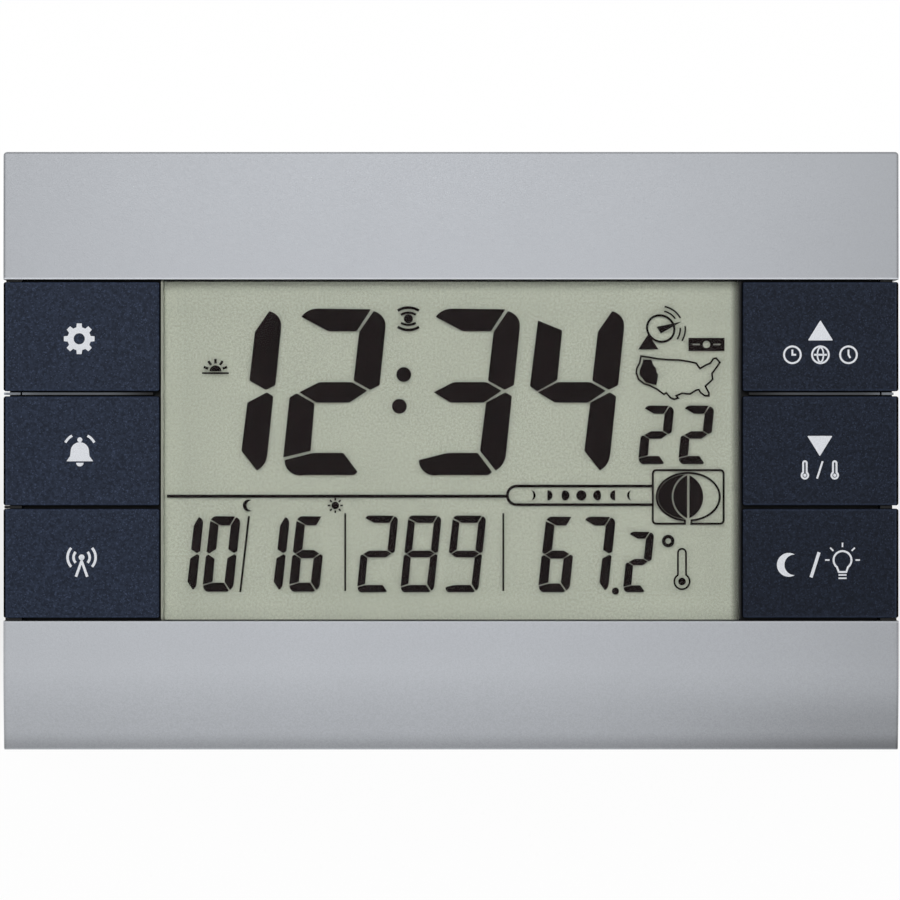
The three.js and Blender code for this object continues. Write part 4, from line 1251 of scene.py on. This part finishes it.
# A figure's seven segments, drawn on a grid. Its stops are stretched to each row's own stroke widths.
SEGMENT_ACROSS = (0, 26, 61, 87.4)
SEGMENT_UP = (0, 22.5, 73.5, 93.5, 144.5, 167.5)
SEGMENTS = {
    "a": arc(17.6, 150.7, 16.8, 150, 92, 5) + [(71.5, 166.8), (59.8, 144.5), (30.8, 144.5)],
    "b": arc(70.6, 148.5, 16.8, 78, 0, 6) + [(87.5, 90.5), (79, 85.9), (62, 94.9), (62.4, 143.9)],
    "c": [(80.2, 83.5), (86.7, 79.5)] + arc(70, 19.5, 16.8, 0, -60, 5) + [(61.4, 24.5), (62.3, 73.5)],
    "d": arc(18.2, 16.8, 16.8, 185, 285, 6) + [(71.9, 0.5), (75.2, 3.5), (59.2, 22.5), (28.2, 22.5)],
    "e": [(6.3, 82.5), (24.4, 72.5), (25.4, 24.5), (0, 18), (0, 78.5)],
    "f": [(1.7, 155.5), (25.7, 145.5), (26, 95.5), (8.1, 84.5), (0.6, 89.5)],
    "g": [(8.8, 83.5), (26.9, 93.5), (60.6, 93.5), (76.1, 85), (60.3, 73.5), (25.8, 73.5)],
}
LIT = {
    "0": "abcdef",
    "1": "bc",
    "2": "abged",
    "3": "abgcd",
    "4": "fgbc",
    "5": "afgcd",
    "6": "afgedc",
    "7": "abc",
    "8": "abcdefg",
    "9": "abcdfg",
}


class FigureRow(NamedTuple):
    """Figures on one line: their left edges and foot, their size, and their strokes' widths."""

    figures: str
    lefts: tuple
    foot: float
    width: float
    height: float
    upright: float
    bar: float


HOUR_LEFTS = (-46.14, -28.58, -5.95, 11.61)
HOUR_FOOT = -4.26
UPRIGHT_SHARE = 0.308
BAR_SHARE = 0.136
SECONDS = FigureRow("22", (31.45, 38.2), -2.36, 5.15, 9.9, 1.6, 1.4)
DATE = FigureRow("1016", (-48.17, -41.92, -33.64, -27.39), -23.85, 5.2, 12.75, 1.62, 1.55)
DAY_COUNT = FigureRow("289", (-15.9, -8.6, -1.1), -23.93, 5.7, 12.95, 1.3, 1.25)
DEGREES = FigureRow("67", (14.6, 21.1), -23.93, 5.35, 12.75, 1.66, 1.5)
TENTHS = FigureRow("2", (28.9,), -23.93, 4.3, 10.22, 1.38, 1.18)
COLON = ((-7.96, 12.76), (-8.7, 7.4))
COLON_RADIUS = 1.24
MORNING_MARK = (-39.67, 13.2)
ALARM_MARK = (-7.18, 22.14)
NIGHT_MARK = (-34.07, -9.3)
NOON_MARK = (-19.49, -9.3)
DATE_SLASH = [(-34.03, -11.1), (-35.5, -23.9)]
DECIMAL_POINT = (27.7, -23.72)
DEGREE_RING = (36.58, -15.29)
THERMOMETER = (38.9, -20.0)
LEVEL_DIVIDER = (-47.84, -8.0, 9.41, -7.48)
UPRIGHT_DIVIDERS = (-17.81, 8.81)
DAY_PLATE = (39.99, 16.72, 46.07, 18.92)
DAY_SUN = (43.03, 17.82)
DAY_DASHES = (40.7, 44.16)
LAND = [
    (31.99, 15.84), (33.21, 15.69), (34.76, 15.41), (36.57, 15.24), (38.38, 15.2), (40.06, 14.94),
    (41.29, 14.66), (41.93, 13.75), (42.9, 14.33), (43.68, 14.66), (44.19, 15.43), (44.65, 15.5),
    (45.29, 14.79), (44.71, 13.95), (43.94, 12.91), (44.07, 11.94), (42.84, 10.78), (43.42, 9.68),
    (43.42, 9.17), (42.77, 9.17), (42.06, 9.68), (41.74, 10.2), (41.29, 10.13), (40.25, 9.46),
    (38.9, 9.59), (37.93, 9.17), (38.25, 8.78), (37.61, 8.58), (36.96, 8.84), (36.25, 9.68),
    (35.86, 9.42), (34.63, 10.33), (33.34, 10.97), (32.57, 11.17), (31.6, 11.94), (31.21, 12.98),
    (31.28, 13.75), (31.79, 14.79),
]
ZONE = [
    (32.37, 15.3), (33.79, 15.24), (34.05, 14.33), (34.51, 13.88), (34.63, 13.11), (34.89, 12.78),
    (34.57, 10.97), (32.83, 11.36), (31.73, 12.72), (31.79, 13.49), (32.24, 14.66),
]


def remapped(value, old_stops, new_stops):
    """A value moved from one row of stops to another, evenly between the stops."""
    for index in range(len(old_stops) - 1):
        low, high = old_stops[index : index + 2]
        if value <= high or index == len(old_stops) - 2:
            share = (value - low) / (high - low)
            return new_stops[index] + share * (new_stops[index + 1] - new_stops[index])


def segment_figures(row):
    """A row of seven-segment figures."""
    across = (0, row.upright, row.width - row.upright, row.width)
    middle = row.height * (SEGMENT_UP[2] + SEGMENT_UP[3]) / 2 / SEGMENT_UP[-1]
    half = row.bar * 0.45
    up = (0, row.bar, middle - half, middle + half, row.height - row.bar, row.height)
    groups = []
    for figure, x in zip(row.figures, row.lefts):
        for segment in LIT[figure]:
            points = []
            for px, pz in SEGMENTS[segment]:
                points.append((remapped(px, SEGMENT_ACROSS, across), remapped(pz, SEGMENT_UP, up)))
            points = softened(moved(points, x, row.foot), row.width * 0.012)
            groups.append([slanted(points, row.foot, sizes().lean_of_digits)])
    return groups


def rising_sun(x, z):
    """A half sun with rays over a line."""
    groups = [[arc(x, z + 0.1, 1.0, 0, 180, 14)], [box_outline(x - 2.25, z - 0.36, x + 2.25, z - 0.06)]]
    ray = [(x + 1.3, z + 0.1), (x + 2.1, z + 0.1)]
    for angle in (20, 55, 90, 125, 160):
        groups.append(band(turned(ray, angle, (x, z + 0.1)), 0.42))
    return groups


def ringing_dot(x, z):
    """A dot between two pairs of arcs."""
    groups = [[circle(x, z, 0.76, 24)]]
    for way, middle in ((1, 90), (-1, 270)):
        groups.append(band(arc(x, z - way * 1.5, 3.38, middle - 32, middle + 32, 12), 0.46))
        groups.append(band(arc(x, z - way * 1.33, 2.36, middle - 32, middle + 32, 10), 0.4))
    return groups


def small_sun(x, z):
    """A sun with eight short rays."""
    groups = [[circle(x, z, 0.64, 20)]]
    ray = [(x + 0.83, z), (x + 1.27, z)]
    for angle in range(0, 360, 45):
        groups.append(band(turned(ray, angle, (x, z)), 0.28))
    return groups


def moon(x, z, radius, shade, waning=False):
    """A moon whose dark part ends at a share of its radius: 1 shows none of it, 0 half and -1 all."""
    points = arc(x, z, radius, -90, 90, 14)
    points += [(x + shade * (px - x), pz) for px, pz in arc(x, z, radius, 90, -90, 14)[1:-1]]
    return [[turned(points, 180, (x, z)) if waning else points]]


def add_ink(name, groups):
    """Adds outlines to the display as dark figures."""
    thickness = in_mm(sizes().print_height)
    add_piece(name, flat_form(groups, INK_FRONT, thickness), figure_ink())


class CLOCK_OT_display(bpy.types.Operator):
    """The window, the display's glass and its reflector"""

    bl_idname = "clock.display"
    bl_label = "Display"

    def execute(self, context):
        refinish(["display_window"], clear_window())
        low, high = case_box("display_panel")
        outline = box_outline(low.x, low.z, high.x, high.z, 0.4)
        thickness = min(in_mm(sizes().glass_thickness), INK_FRONT - GLASS_FRONT - 0.05)
        glass = flat_form([[outline]], GLASS_FRONT, thickness)
        add_piece("display_front_glass", glass, display_glass())
        ground = flat_form([[outline]], REFLECTOR_FRONT, high.y - REFLECTOR_FRONT)
        add_piece("display_reflector", ground, reflector(), stands_for=["display_panel"])
        return {"FINISHED"}


class CLOCK_OT_time_figures(bpy.types.Operator):
    """Hours, minutes, seconds and the marks beside them"""

    bl_idname = "clock.time_figures"
    bl_label = "Time figures"

    def execute(self, context):
        width, height = in_mm(sizes().digit_width), in_mm(sizes().digit_height)
        strokes = width * UPRIGHT_SHARE, height * BAR_SHARE
        groups = segment_figures(FigureRow("1234", HOUR_LEFTS, HOUR_FOOT, width, height, *strokes))
        groups += [[circle(x, z, COLON_RADIUS)] for x, z in COLON]
        add_ink("time_figures", groups)
        add_ink("second_figures", segment_figures(SECONDS))
        add_ink("morning_mark", rising_sun(*MORNING_MARK))
        add_ink("alarm_mark", ringing_dot(*ALARM_MARK))
        return {"FINISHED"}


class CLOCK_OT_calendar_figures(bpy.types.Operator):
    """Date, day count, temperature and the lines between them"""

    bl_idname = "clock.calendar_figures"
    bl_label = "Calendar figures"

    def execute(self, context):
        groups = segment_figures(DATE)
        groups.append(band(DATE_SLASH, 0.34))
        groups += crescent(*NIGHT_MARK, 1.0)
        groups += small_sun(*NOON_MARK)
        add_ink("date_figures", groups)
        add_ink("day_count_figures", segment_figures(DAY_COUNT))
        groups = segment_figures(DEGREES) + segment_figures(TENTHS)
        groups.append([circle(*DECIMAL_POINT, 0.6, 20)])
        groups.append([circle(*DEGREE_RING, 1.06, 24), circle(*DEGREE_RING, 0.47, 20)])
        groups += thermometer(*THERMOMETER, 6.8, 0.3)
        add_ink("temperature_figures", groups)
        groups = [[box_outline(*LEVEL_DIVIDER)]]
        for x in UPRIGHT_DIVIDERS:
            groups.append([box_outline(x - 0.15, -23.7, x + 0.15, -10.6)])
        add_ink("divider_lines", groups)
        return {"FINISHED"}


DISH = (35.32, 20.49)
DISH_FOOT = [(33.22, 19.56), (31.53, 16.98), (34.96, 16.98)]
DISH_ARM = [(34.64, 20.79), (35.35, 19.66), (38.83, 21.66)]
DISH_WAVES = ((2.96, 34, 79), (3.75, 28, 80), (3.3, -33, 2), (4.14, -30, 6))

# The small moons: place in their row, where their dark part ends, and whether waning
MOONS = (
    (0, 0.55, False),
    (1, 0.0, False),
    (2, -0.55, False),
    (3, -1.0, False),
    (6, 0.55, True),
    (5, 0.0, True),
    (4, -0.55, True),
)
MOON_ROW_HEIGHT = -7.6
MOON_PITCH = 2.85
MOON_RADIUS = 0.86
MOON_TRACK_END = 33.9
MOON_TRACK_HALF = 1.57
MOON_MIDDLE = (39.95, -7.83)
MOON_LINE = 0.35
LENS_RADIUS = 3.97
LENS_REACH = 2.33


def moon_frame():
    """The line round the moon, which runs on into the box round it."""
    x, z = MOON_MIDDLE
    disc = arc(x, z, 5.32, 276, 624, 48, 4.01 / 5.32)
    left, right, top, bottom, corner = 33.98, 45.91, -3.35, -12.37, 0.6
    box = [(39.4, bottom)]
    for across, up, start in ((left, bottom, 270), (left, top, 180), (right, top, 90), (right, bottom, 0)):
        middle_x = across + corner if across == left else across - corner
        middle_z = up + corner if up == bottom else up - corner
        box += arc(middle_x, middle_z, corner, start, start - 90, 5)
    return band([*disc, *box, (40.47, bottom)], MOON_LINE, closed=True)


def moon_disc():
    """The three dark parts of the moon, with pale hairlines between them."""
    x, z = MOON_MIDDLE
    edge, tip = 39.77, math.degrees(math.acos(1 - LENS_REACH / LENS_RADIUS))
    middle = edge + LENS_RADIUS - LENS_REACH
    near = arc(x, z, 5.09, 98.5, 261.5, 24, 3.78 / 5.09)
    far = arc(middle, z, LENS_RADIUS + 0.26, 242, 118, 18)
    left = arc(middle, z, LENS_RADIUS, 180 - tip, 180 + tip, 20)
    right = [(2 * edge + 0.38 - px, pz) for px, pz in left]
    return [[near + far], [left], [right]]


class CLOCK_OT_display_symbols(bpy.types.Operator):
    """Aerial dish, land map and the moon panel"""

    bl_idname = "clock.display_symbols"
    bl_label = "Display symbols"

    def execute(self, context):
        groups = [band(turned(circle(*DISH, 2.36, 32, 0.92), -35, DISH), 0.38, closed=True)]
        groups += [[DISH_FOOT], [DISH_ARM]]
        for radius, start, end in DISH_WAVES:
            groups.append(band(arc(*DISH, radius, start, end, 10), 0.28))
        add_ink("dish_mark", groups)
        holes = [circle(*DAY_SUN, 0.62, 20)]
        holes += [box_outline(left, 17.7, left + 1.2, 17.94) for left in DAY_DASHES]
        add_ink("day_mark", [[box_outline(*DAY_PLATE), *holes]])
        add_ink("land_map", [band(LAND, 0.3, closed=True), [ZONE]])
        end, height, half = MOON_TRACK_END, MOON_ROW_HEIGHT, MOON_TRACK_HALF
        track = [(end, height + half), *arc(11.05, height, half, 90, 270, 14), (end, height - half)]
        groups = [band(track, 0.46)]
        for place, shade, waning in MOONS:
            groups += moon(13.4 + MOON_PITCH * place, height, MOON_RADIUS, shade, waning)
        groups.append(moon_frame())
        groups += moon_disc()
        add_ink("moon_panel", groups)
        return {"FINISHED"}


# The back


BACK = 28.0
DOOR_TOP = 34.8
GRIP_PITCH = 1.1
SPRING_RADII = (3.0, 2.2)
SPRING_TURNS = 4
SPRING_WIRE = 0.24
STAND_SWING = math.radians(20)
RIB_PLACES = (-12, -6, 0, 6, 12)

# A screw's head radius, head thickness and shank radius
SCREWS = {"case_screw": (2.6, 2.0, 1.3), "board_screw": (1.9, 1.1, 0.9)}


def behind(depth):
    """A test for edges that lie behind a depth."""
    return lambda first, second: min(first.y, second.y) > depth


class CLOCK_OT_rear_shell(bpy.types.Operator):
    """The rear shell, with softened cuts"""

    bl_idname = "clock.rear_shell"
    bl_label = "Rear shell"

    def execute(self, context):
        form = cad_form("rear_shell")
        even_flats(form, BACK)
        round_edges(form, in_mm(sizes().rear_edge), behind(BACK - 0.05))
        add_piece("rear_cover", form, rear_plastic(), stands_for=["rear_shell"])
        return {"FINISHED"}


class CLOCK_OT_battery_door(bpy.types.Operator):
    """The hinged battery door with its grip"""

    bl_idname = "clock.battery_door"
    bl_label = "Battery door"

    def execute(self, context):
        form = cad_form("battery_door")
        round_edges(form, 0.25, behind(BACK - 0.05))
        add_piece("battery_cover", form, rear_plastic(), "battery_door", ["battery_door"])
        groups = []
        for row in range(4):
            top = DOOR_TOP - 1.9 - GRIP_PITCH * row
            groups.append([box_outline(-7, top - 0.5, 7, top, 0.2)])
        arrow = [(-1.7, DOOR_TOP - 7.2), (1.7, DOOR_TOP - 7.2), (0, DOOR_TOP - 9.6)]
        groups.append([softened(arrow, 0.3)])
        ridges = flat_form(groups, BACK - 0.1, 0.4)
        round_edges(ridges, 0.08, behind(BACK + 0.25))
        add_piece("battery_cover_grip", ridges, rear_plastic(), "battery_door")
        return {"FINISHED"}


def cell_profiles(reach, radius):
    """The lathe profiles of a cell's jacket, flat end and nub, as (distance along, radius)."""
    shoulder = reach - 1.0
    jacket = [(0.5, 0.0), (0.5, radius - 0.25), (0.35, radius - 0.1), (0.6, radius)]
    jacket += [(shoulder - 0.7, radius), (shoulder - 0.3, radius - 0.15), (shoulder - 0.15, radius - 0.7)]
    jacket += [(shoulder - 0.4, radius - 0.8), (shoulder - 0.4, 0.0)]
    flat_end = [(0.0, 0.0), (0.0, 3.2), (0.12, 3.4), (0.12, radius - 0.9), (0.3, radius - 0.5)]
    flat_end += [(1.2, radius - 0.4), (1.2, 0.0)]
    nub = [(shoulder - 1.0, 0.0), (shoulder - 1.0, radius - 0.6), (shoulder - 0.35, radius - 0.65)]
    nub += [(shoulder - 0.2, radius - 1.0), (shoulder - 0.2, 2.3), (shoulder, 2.15), (shoulder, 1.9)]
    nub += [(reach - 0.2, 1.85), (reach - 0.05, 1.7), (reach, 1.4), (reach, 0.0)]
    return jacket, flat_end, nub


class CLOCK_OT_cells(bpy.types.Operator):
    """Two round cells with jackets and bare metal ends"""

    bl_idname = "clock.cells"
    bl_label = "Cells"

    def execute(self, context):
        for node, way in (("cell_upper", 1), ("cell_lower", -1)):
            low, high = case_box(node)
            middle = (low + high) / 2
            foot = Vector((low.x if way > 0 else high.x, middle.y, middle.z))
            jacket, flat_end, nub = cell_profiles(high.x - low.x, (high.z - low.z) / 2)
            form = turned_form(jacket, foot, (way, 0, 0), 48)
            add_piece(f"{node}_jacket", form, cell_jacket(), stands_for=[node])
            ends = merged([turned_form(profile, foot, (way, 0, 0)) for profile in (flat_end, nub)])
            add_piece(f"{node}_ends", ends, steel())
        return {"FINISHED"}


def coil(start, along, reach, first_radius, last_radius, turns, wire):
    """A spring wound round its axis, with a flat turn at each end."""
    along = Vector(along).normalized()
    side = along.orthogonal().normalized()
    other = along.cross(side)
    points = []
    count = 28 * turns
    for index in range(count + 1):
        share = index / count
        climb = min(1.0, max(0.0, (share * (turns + 1.2) - 0.6) / turns))
        radius = first_radius + (last_radius - first_radius) * climb
        angle = 2 * math.pi * turns * share
        centre = Vector(start) + along * (wire + (reach - 2 * wire) * climb)
        points.append(centre + (side * math.cos(angle) + other * math.sin(angle)) * radius)
    return wire_form(points, wire)


class CLOCK_OT_contacts(bpy.types.Operator):
    """Battery springs, contact plates and leads"""

    bl_idname = "clock.contacts"
    bl_label = "Contacts"

    def execute(self, context):
        for node, way in (("bridge_spring", -1), ("negative_spring", 1)):
            low, high = case_box(node)
            middle = (low + high) / 2
            start = Vector((high.x if way < 0 else low.x, middle.y, middle.z))
            form = coil(start, (way, 0, 0), high.x - low.x, *SPRING_RADII, SPRING_TURNS, SPRING_WIRE)
            add_piece(f"{node}_coil", form, spring_steel(), stands_for=[node])
        refinish(["bridge_plate", "negative_plate", "positive_plate"], steel())
        refinish(["negative_lead"], black_lead())
        refinish(["positive_lead"], red_lead())
        return {"FINISHED"}


class CLOCK_OT_stand(bpy.types.Operator):
    """The fold-out stand with its ribs, rubber sole and pin"""

    bl_idname = "clock.stand"
    bl_label = "Stand"

    def execute(self, context):
        low, high = case_box("stand_pin")
        pivot = (low + high) / 2
        form = cad_form("stand_leg")
        round_edges(form, 0.4, lambda first, second: max(first.z, second.z) < -2)
        add_piece("stand_plate", form, rear_plastic(), "stand", ["stand_leg"])
        groups = [[box_outline(x - 0.6, -36.5, x + 0.6, -6.5, 0.5)] for x in RIB_PLACES]
        ribs = flat_form(groups, 1.3, 0.35)
        round_edges(ribs, 0.1, behind(1.6))
        ribs.transform(Matrix.Translation(pivot) @ Matrix.Rotation(STAND_SWING, 4, "X"))
        add_piece("stand_ribs", ribs, rear_plastic(), "stand")
        refinish(["stand_foot"], foot_rubber())
        refinish(["stand_pin"], steel())
        return {"FINISHED"}


def on_the_table(first, second):
    """Whether an edge lies on what the clock stands on."""
    return max((CASE @ first).z, (CASE @ second).z) < 0.0002


class CLOCK_OT_feet(bpy.types.Operator):
    """Four rubber feet with rounded rims"""

    bl_idname = "clock.feet"
    bl_label = "Feet"

    def execute(self, context):
        for number in range(1, 5):
            node = f"foot_{number}"
            form = cad_form(node)
            round_edges(form, 0.2, on_the_table)
            add_piece(f"rubber_{node}", form, foot_rubber(), stands_for=[node])
        return {"FINISHED"}


def screw_form(node, head_radius, head_thickness, shank_radius):
    """A screw with a rounded head and a cross recess, seen from the back."""
    low, high = case_box(node)
    middle = (low + high) / 2
    foot = Vector((middle.x, low.y, middle.z))
    seat = high.y - low.y - head_thickness
    floor = seat + head_thickness * 0.45
    shank = [(0.0, 0.0), (0.0, shank_radius * 0.5), (0.8, shank_radius), (seat, shank_radius)]
    shank += [(seat, head_radius), (floor, head_radius), (floor, 0.0)]
    arm, half = head_radius * 0.58, head_radius * 0.13
    cross = [(-arm, -half), (-half, -half), (-half, -arm), (half, -arm), (half, -half), (arm, -half)]
    cross += [(arm, half), (half, half), (half, arm), (-half, arm), (-half, half), (-arm, half)]
    outlines = [circle(middle.x, middle.z, head_radius), moved(cross, middle.x, middle.z)]
    head = flat_form([outlines], low.y + floor - 0.05, head_thickness * 0.55 + 0.05)

    def rim(first, second):
        reach = min((point - middle).xz.length for point in (first, second))
        return min(first.y, second.y) > high.y - 0.01 and reach > head_radius * 0.95

    round_edges(head, head_thickness * 0.38, rim, 4)
    return merged([turned_form(shank, foot, (0, 1, 0), 32), head])


class CLOCK_OT_screws(bpy.types.Operator):
    """The screws of the case and the board"""

    bl_idname = "clock.screws"
    bl_label = "Screws"

    def execute(self, context):
        for number in range(1, 5):
            for kind, measures in SCREWS.items():
                node = f"{kind}_{number}"
                form = screw_form(node, *measures)
                add_piece(f"{node}_cross_head", form, steel(), stands_for=[node])
        return {"FINISHED"}


class CLOCK_OT_inner_parts(bpy.types.Operator):
    """Finishes of the board, switches, aerial, sounder and light"""

    bl_idname = "clock.inner_parts"
    bl_label = "Inner parts"

    def execute(self, context):
        refinish([key.replace("_key", "_switch") for key in KEYS], black_plastic())
        refinish(["chip_cap", "temperature_sensor", "capacitor"], black_plastic())
        refinish(["backlight_panel", "backlight_lamp"], white_plastic())
        refinish(["main_board", "receiver_board"], circuit_board())
        refinish(["connector_strip"], strip_rubber())
        refinish(["quartz_crystal"], steel())
        refinish(["sounder_disc"], brass())
        refinish(["ferrite_rod"], ferrite())
        refinish(["aerial_winding"], copper_winding())
        return {"FINISHED"}


# Camera, light and floor


# Each lamp's turn round the clock and upwards in degrees, its distance and size in metres, the
# setting that holds its power, and its share of that power
LAMPS = {
    "Key light": (-3, 25, 1.1, (0.34, 0.3), "key_power", 1.0),
    "Fill light": (48, 18, 1.1, (0.5, 0.5), "fill_power", 1.0),
    "Back light left": (-145, 40, 1.2, (0.6, 0.5), "back_power", 1.0),
    "Back light right": (140, 35, 1.2, (0.6, 0.5), "back_power", 0.7),
}
LIT_POINT = Vector((0, 0, 0.05))
SENSOR_WIDTH = 36
FLOOR_REACH = 3
WHITE = (1.0, 1.0, 1.0)


def add_camera(stage):
    """The camera, square to the face and far enough to take in the frame's width."""
    data = bpy.data.cameras.new("Camera")
    data.lens = stage.lens
    data.sensor_width = SENSOR_WIDTH
    data.clip_start, data.clip_end = 0.01, 50
    distance = in_mm(stage.frame_width) * stage.lens / data.sensor_width
    aim = CASE @ Vector((-in_mm(stage.middle_x), 0, in_mm(stage.middle_z)))
    inward = (CASE.to_3x3() @ Vector((0, 1, 0))).normalized()
    upward = (CASE.to_3x3() @ Vector((0, 0, 1))).normalized()
    turn = Matrix((Vector((1, 0, 0)), upward, -inward)).transposed()
    camera = bpy.data.objects.new("Camera", data)
    camera.matrix_world = Matrix.Translation(aim - inward * distance * MM) @ turn.to_4x4()
    bpy.context.scene.collection.objects.link(camera)
    bpy.context.scene.camera = camera


def add_lamp(name, across, up, distance, size, power):
    """A soft square lamp, turned by two angles off the clock's front and aimed at its middle."""
    way = Matrix.Rotation(math.radians(across), 3, "Z") @ Matrix.Rotation(math.radians(-up), 3, "X")
    way = way @ Vector((0, -1, 0))
    data = bpy.data.lights.new(name, "AREA")
    data.shape = "RECTANGLE"
    data.size, data.size_y = size
    data.energy = power
    lamp = bpy.data.objects.new(name, data)
    lamp.location = LIT_POINT + way * distance
    lamp.rotation_euler = way.to_track_quat("Z", "Y").to_euler()
    bpy.context.scene.collection.objects.link(lamp)


def seen_directly(tree):
    """1 for what the camera sees directly, in a mirror or through glass."""
    path = tree.node("ShaderNodeLightPath")
    names = ("Is Camera Ray", "Is Glossy Ray", "Is Transmission Ray")
    return sum((Value(tree.tree, path.outputs[name]) for name in names), 0.0).clamped()


@finish
def table_top(tree):
    """Pale matt top that fades into the white room. It is greyer behind and below the clock, a painted
    shadow in which the clock's own shadow also shows.
    """
    point, (_, depth, _) = tree.place()
    grain = tree.noise(point, 0.2, detail=3)
    colour = tree.between(grain, (0.9, 0.9, 0.9), (0.94, 0.94, 0.94))
    matt = tree.value("ShaderNodeBsdfDiffuse", "BSDF", sockets={"Color": colour})
    glow = tree.value("ShaderNodeEmission", "Emission", sockets={"Color": WHITE, "Strength": 1.0})
    away = tree.value("ShaderNodeVectorMath", "Value", {"operation": "LENGTH"}, {0: point})
    # Painted shadow: less glow near and behind the clock lets the matt grey show there.
    shadow = tree.step(depth, -4.0, 110.0) * tree.step(away, 560.0, 120.0)
    share = 0.965 - shadow * 0.42 + tree.step(away, 150.0, 700.0) * 0.03
    sockets = {0: seen_directly(tree) * share, 1: matt, 2: glow}
    tree.show(tree.value("ShaderNodeMixShader", "Shader", sockets=sockets))


def add_floor():
    """The table that the clock stands on."""
    form = bmesh.new()
    far = FLOOR_REACH
    corners = [form.verts.new((x, y, 0)) for x, y in ((-far, -far), (far, -far), (far, far), (-far, far))]
    form.faces.new(corners)
    bmesh.ops.subdivide_edges(form, edges=form.edges, cuts=3, use_grid_fill=True)
    add_object("floor", form, table_top())


def light_room(ambient):
    """A world that is white to the camera and lights the clock softly."""
    world = bpy.data.worlds.new("Pale room")
    bpy.context.scene.world = world
    tree = Finish(world)
    sockets = {"Color": WHITE, "Strength": seen_directly(tree) * (1.0 - ambient) + ambient}
    light = tree.value("ShaderNodeBackground", "Background", sockets=sockets)
    tree.show(light, "ShaderNodeOutputWorld")


class CLOCK_OT_stage(bpy.types.Operator):
    """Camera, lamps, floor and the pale room"""

    bl_idname = "clock.stage"
    bl_label = "Stage"

    def execute(self, context):
        stage = context.scene.clock_stage
        add_camera(stage)
        for name, (across, up, distance, size, power, share) in LAMPS.items():
            add_lamp(name, across, up, distance, size, getattr(stage, power) * share)
        add_floor()
        light_room(stage.ambient)
        context.scene.view_settings.view_transform = "Standard"
        return {"FINISHED"}


OPERATORS = (
    CLOCK_OT_front_shell,
    CLOCK_OT_inner_frame,
    CLOCK_OT_keys,
    CLOCK_OT_key_print,
    CLOCK_OT_display,
    CLOCK_OT_time_figures,
    CLOCK_OT_calendar_figures,
    CLOCK_OT_display_symbols,
    CLOCK_OT_rear_shell,
    CLOCK_OT_battery_door,
    CLOCK_OT_cells,
    CLOCK_OT_contacts,
    CLOCK_OT_stand,
    CLOCK_OT_feet,
    CLOCK_OT_screws,
    CLOCK_OT_inner_parts,
    CLOCK_OT_stage,
)


class CLOCK_PT_panel(bpy.types.Panel):
    """Lists the steps that dress the clock"""

    bl_idname = "CLOCK_PT_panel"
    bl_label = "Desk alarm clock"
    bl_space_type = "VIEW_3D"
    bl_region_type = "UI"
    bl_category = "Clock"

    def draw(self, context):
        for group in (context.scene.clock_sizes, context.scene.clock_colours, context.scene.clock_stage):
            for name in group.__annotations__:
                self.layout.prop(group, name)
        for operator in OPERATORS:
            self.layout.operator(operator.bl_idname)


CLASSES = (ClockSizes, ClockColours, StageSettings, *OPERATORS, CLOCK_PT_panel)


def register():
    """Adds the classes, and their settings to the scene."""
    for item in CLASSES:
        bpy.utils.register_class(item)
    bpy.types.Scene.clock_sizes = bpy.props.PointerProperty(type=ClockSizes)
    bpy.types.Scene.clock_colours = bpy.props.PointerProperty(type=ClockColours)
    bpy.types.Scene.clock_stage = bpy.props.PointerProperty(type=StageSettings)


def unregister():
    """Takes away what register() adds."""
    del bpy.types.Scene.clock_stage
    del bpy.types.Scene.clock_colours
    del bpy.types.Scene.clock_sizes
    for item in reversed(CLASSES):
        bpy.utils.unregister_class(item)


def main():
    """Dresses the clock step by step."""
    register()
    for operator in OPERATORS:
        group, name = operator.bl_idname.split(".")
        getattr(getattr(bpy.ops, group), name)()


if __name__ == "__main__":
    main()
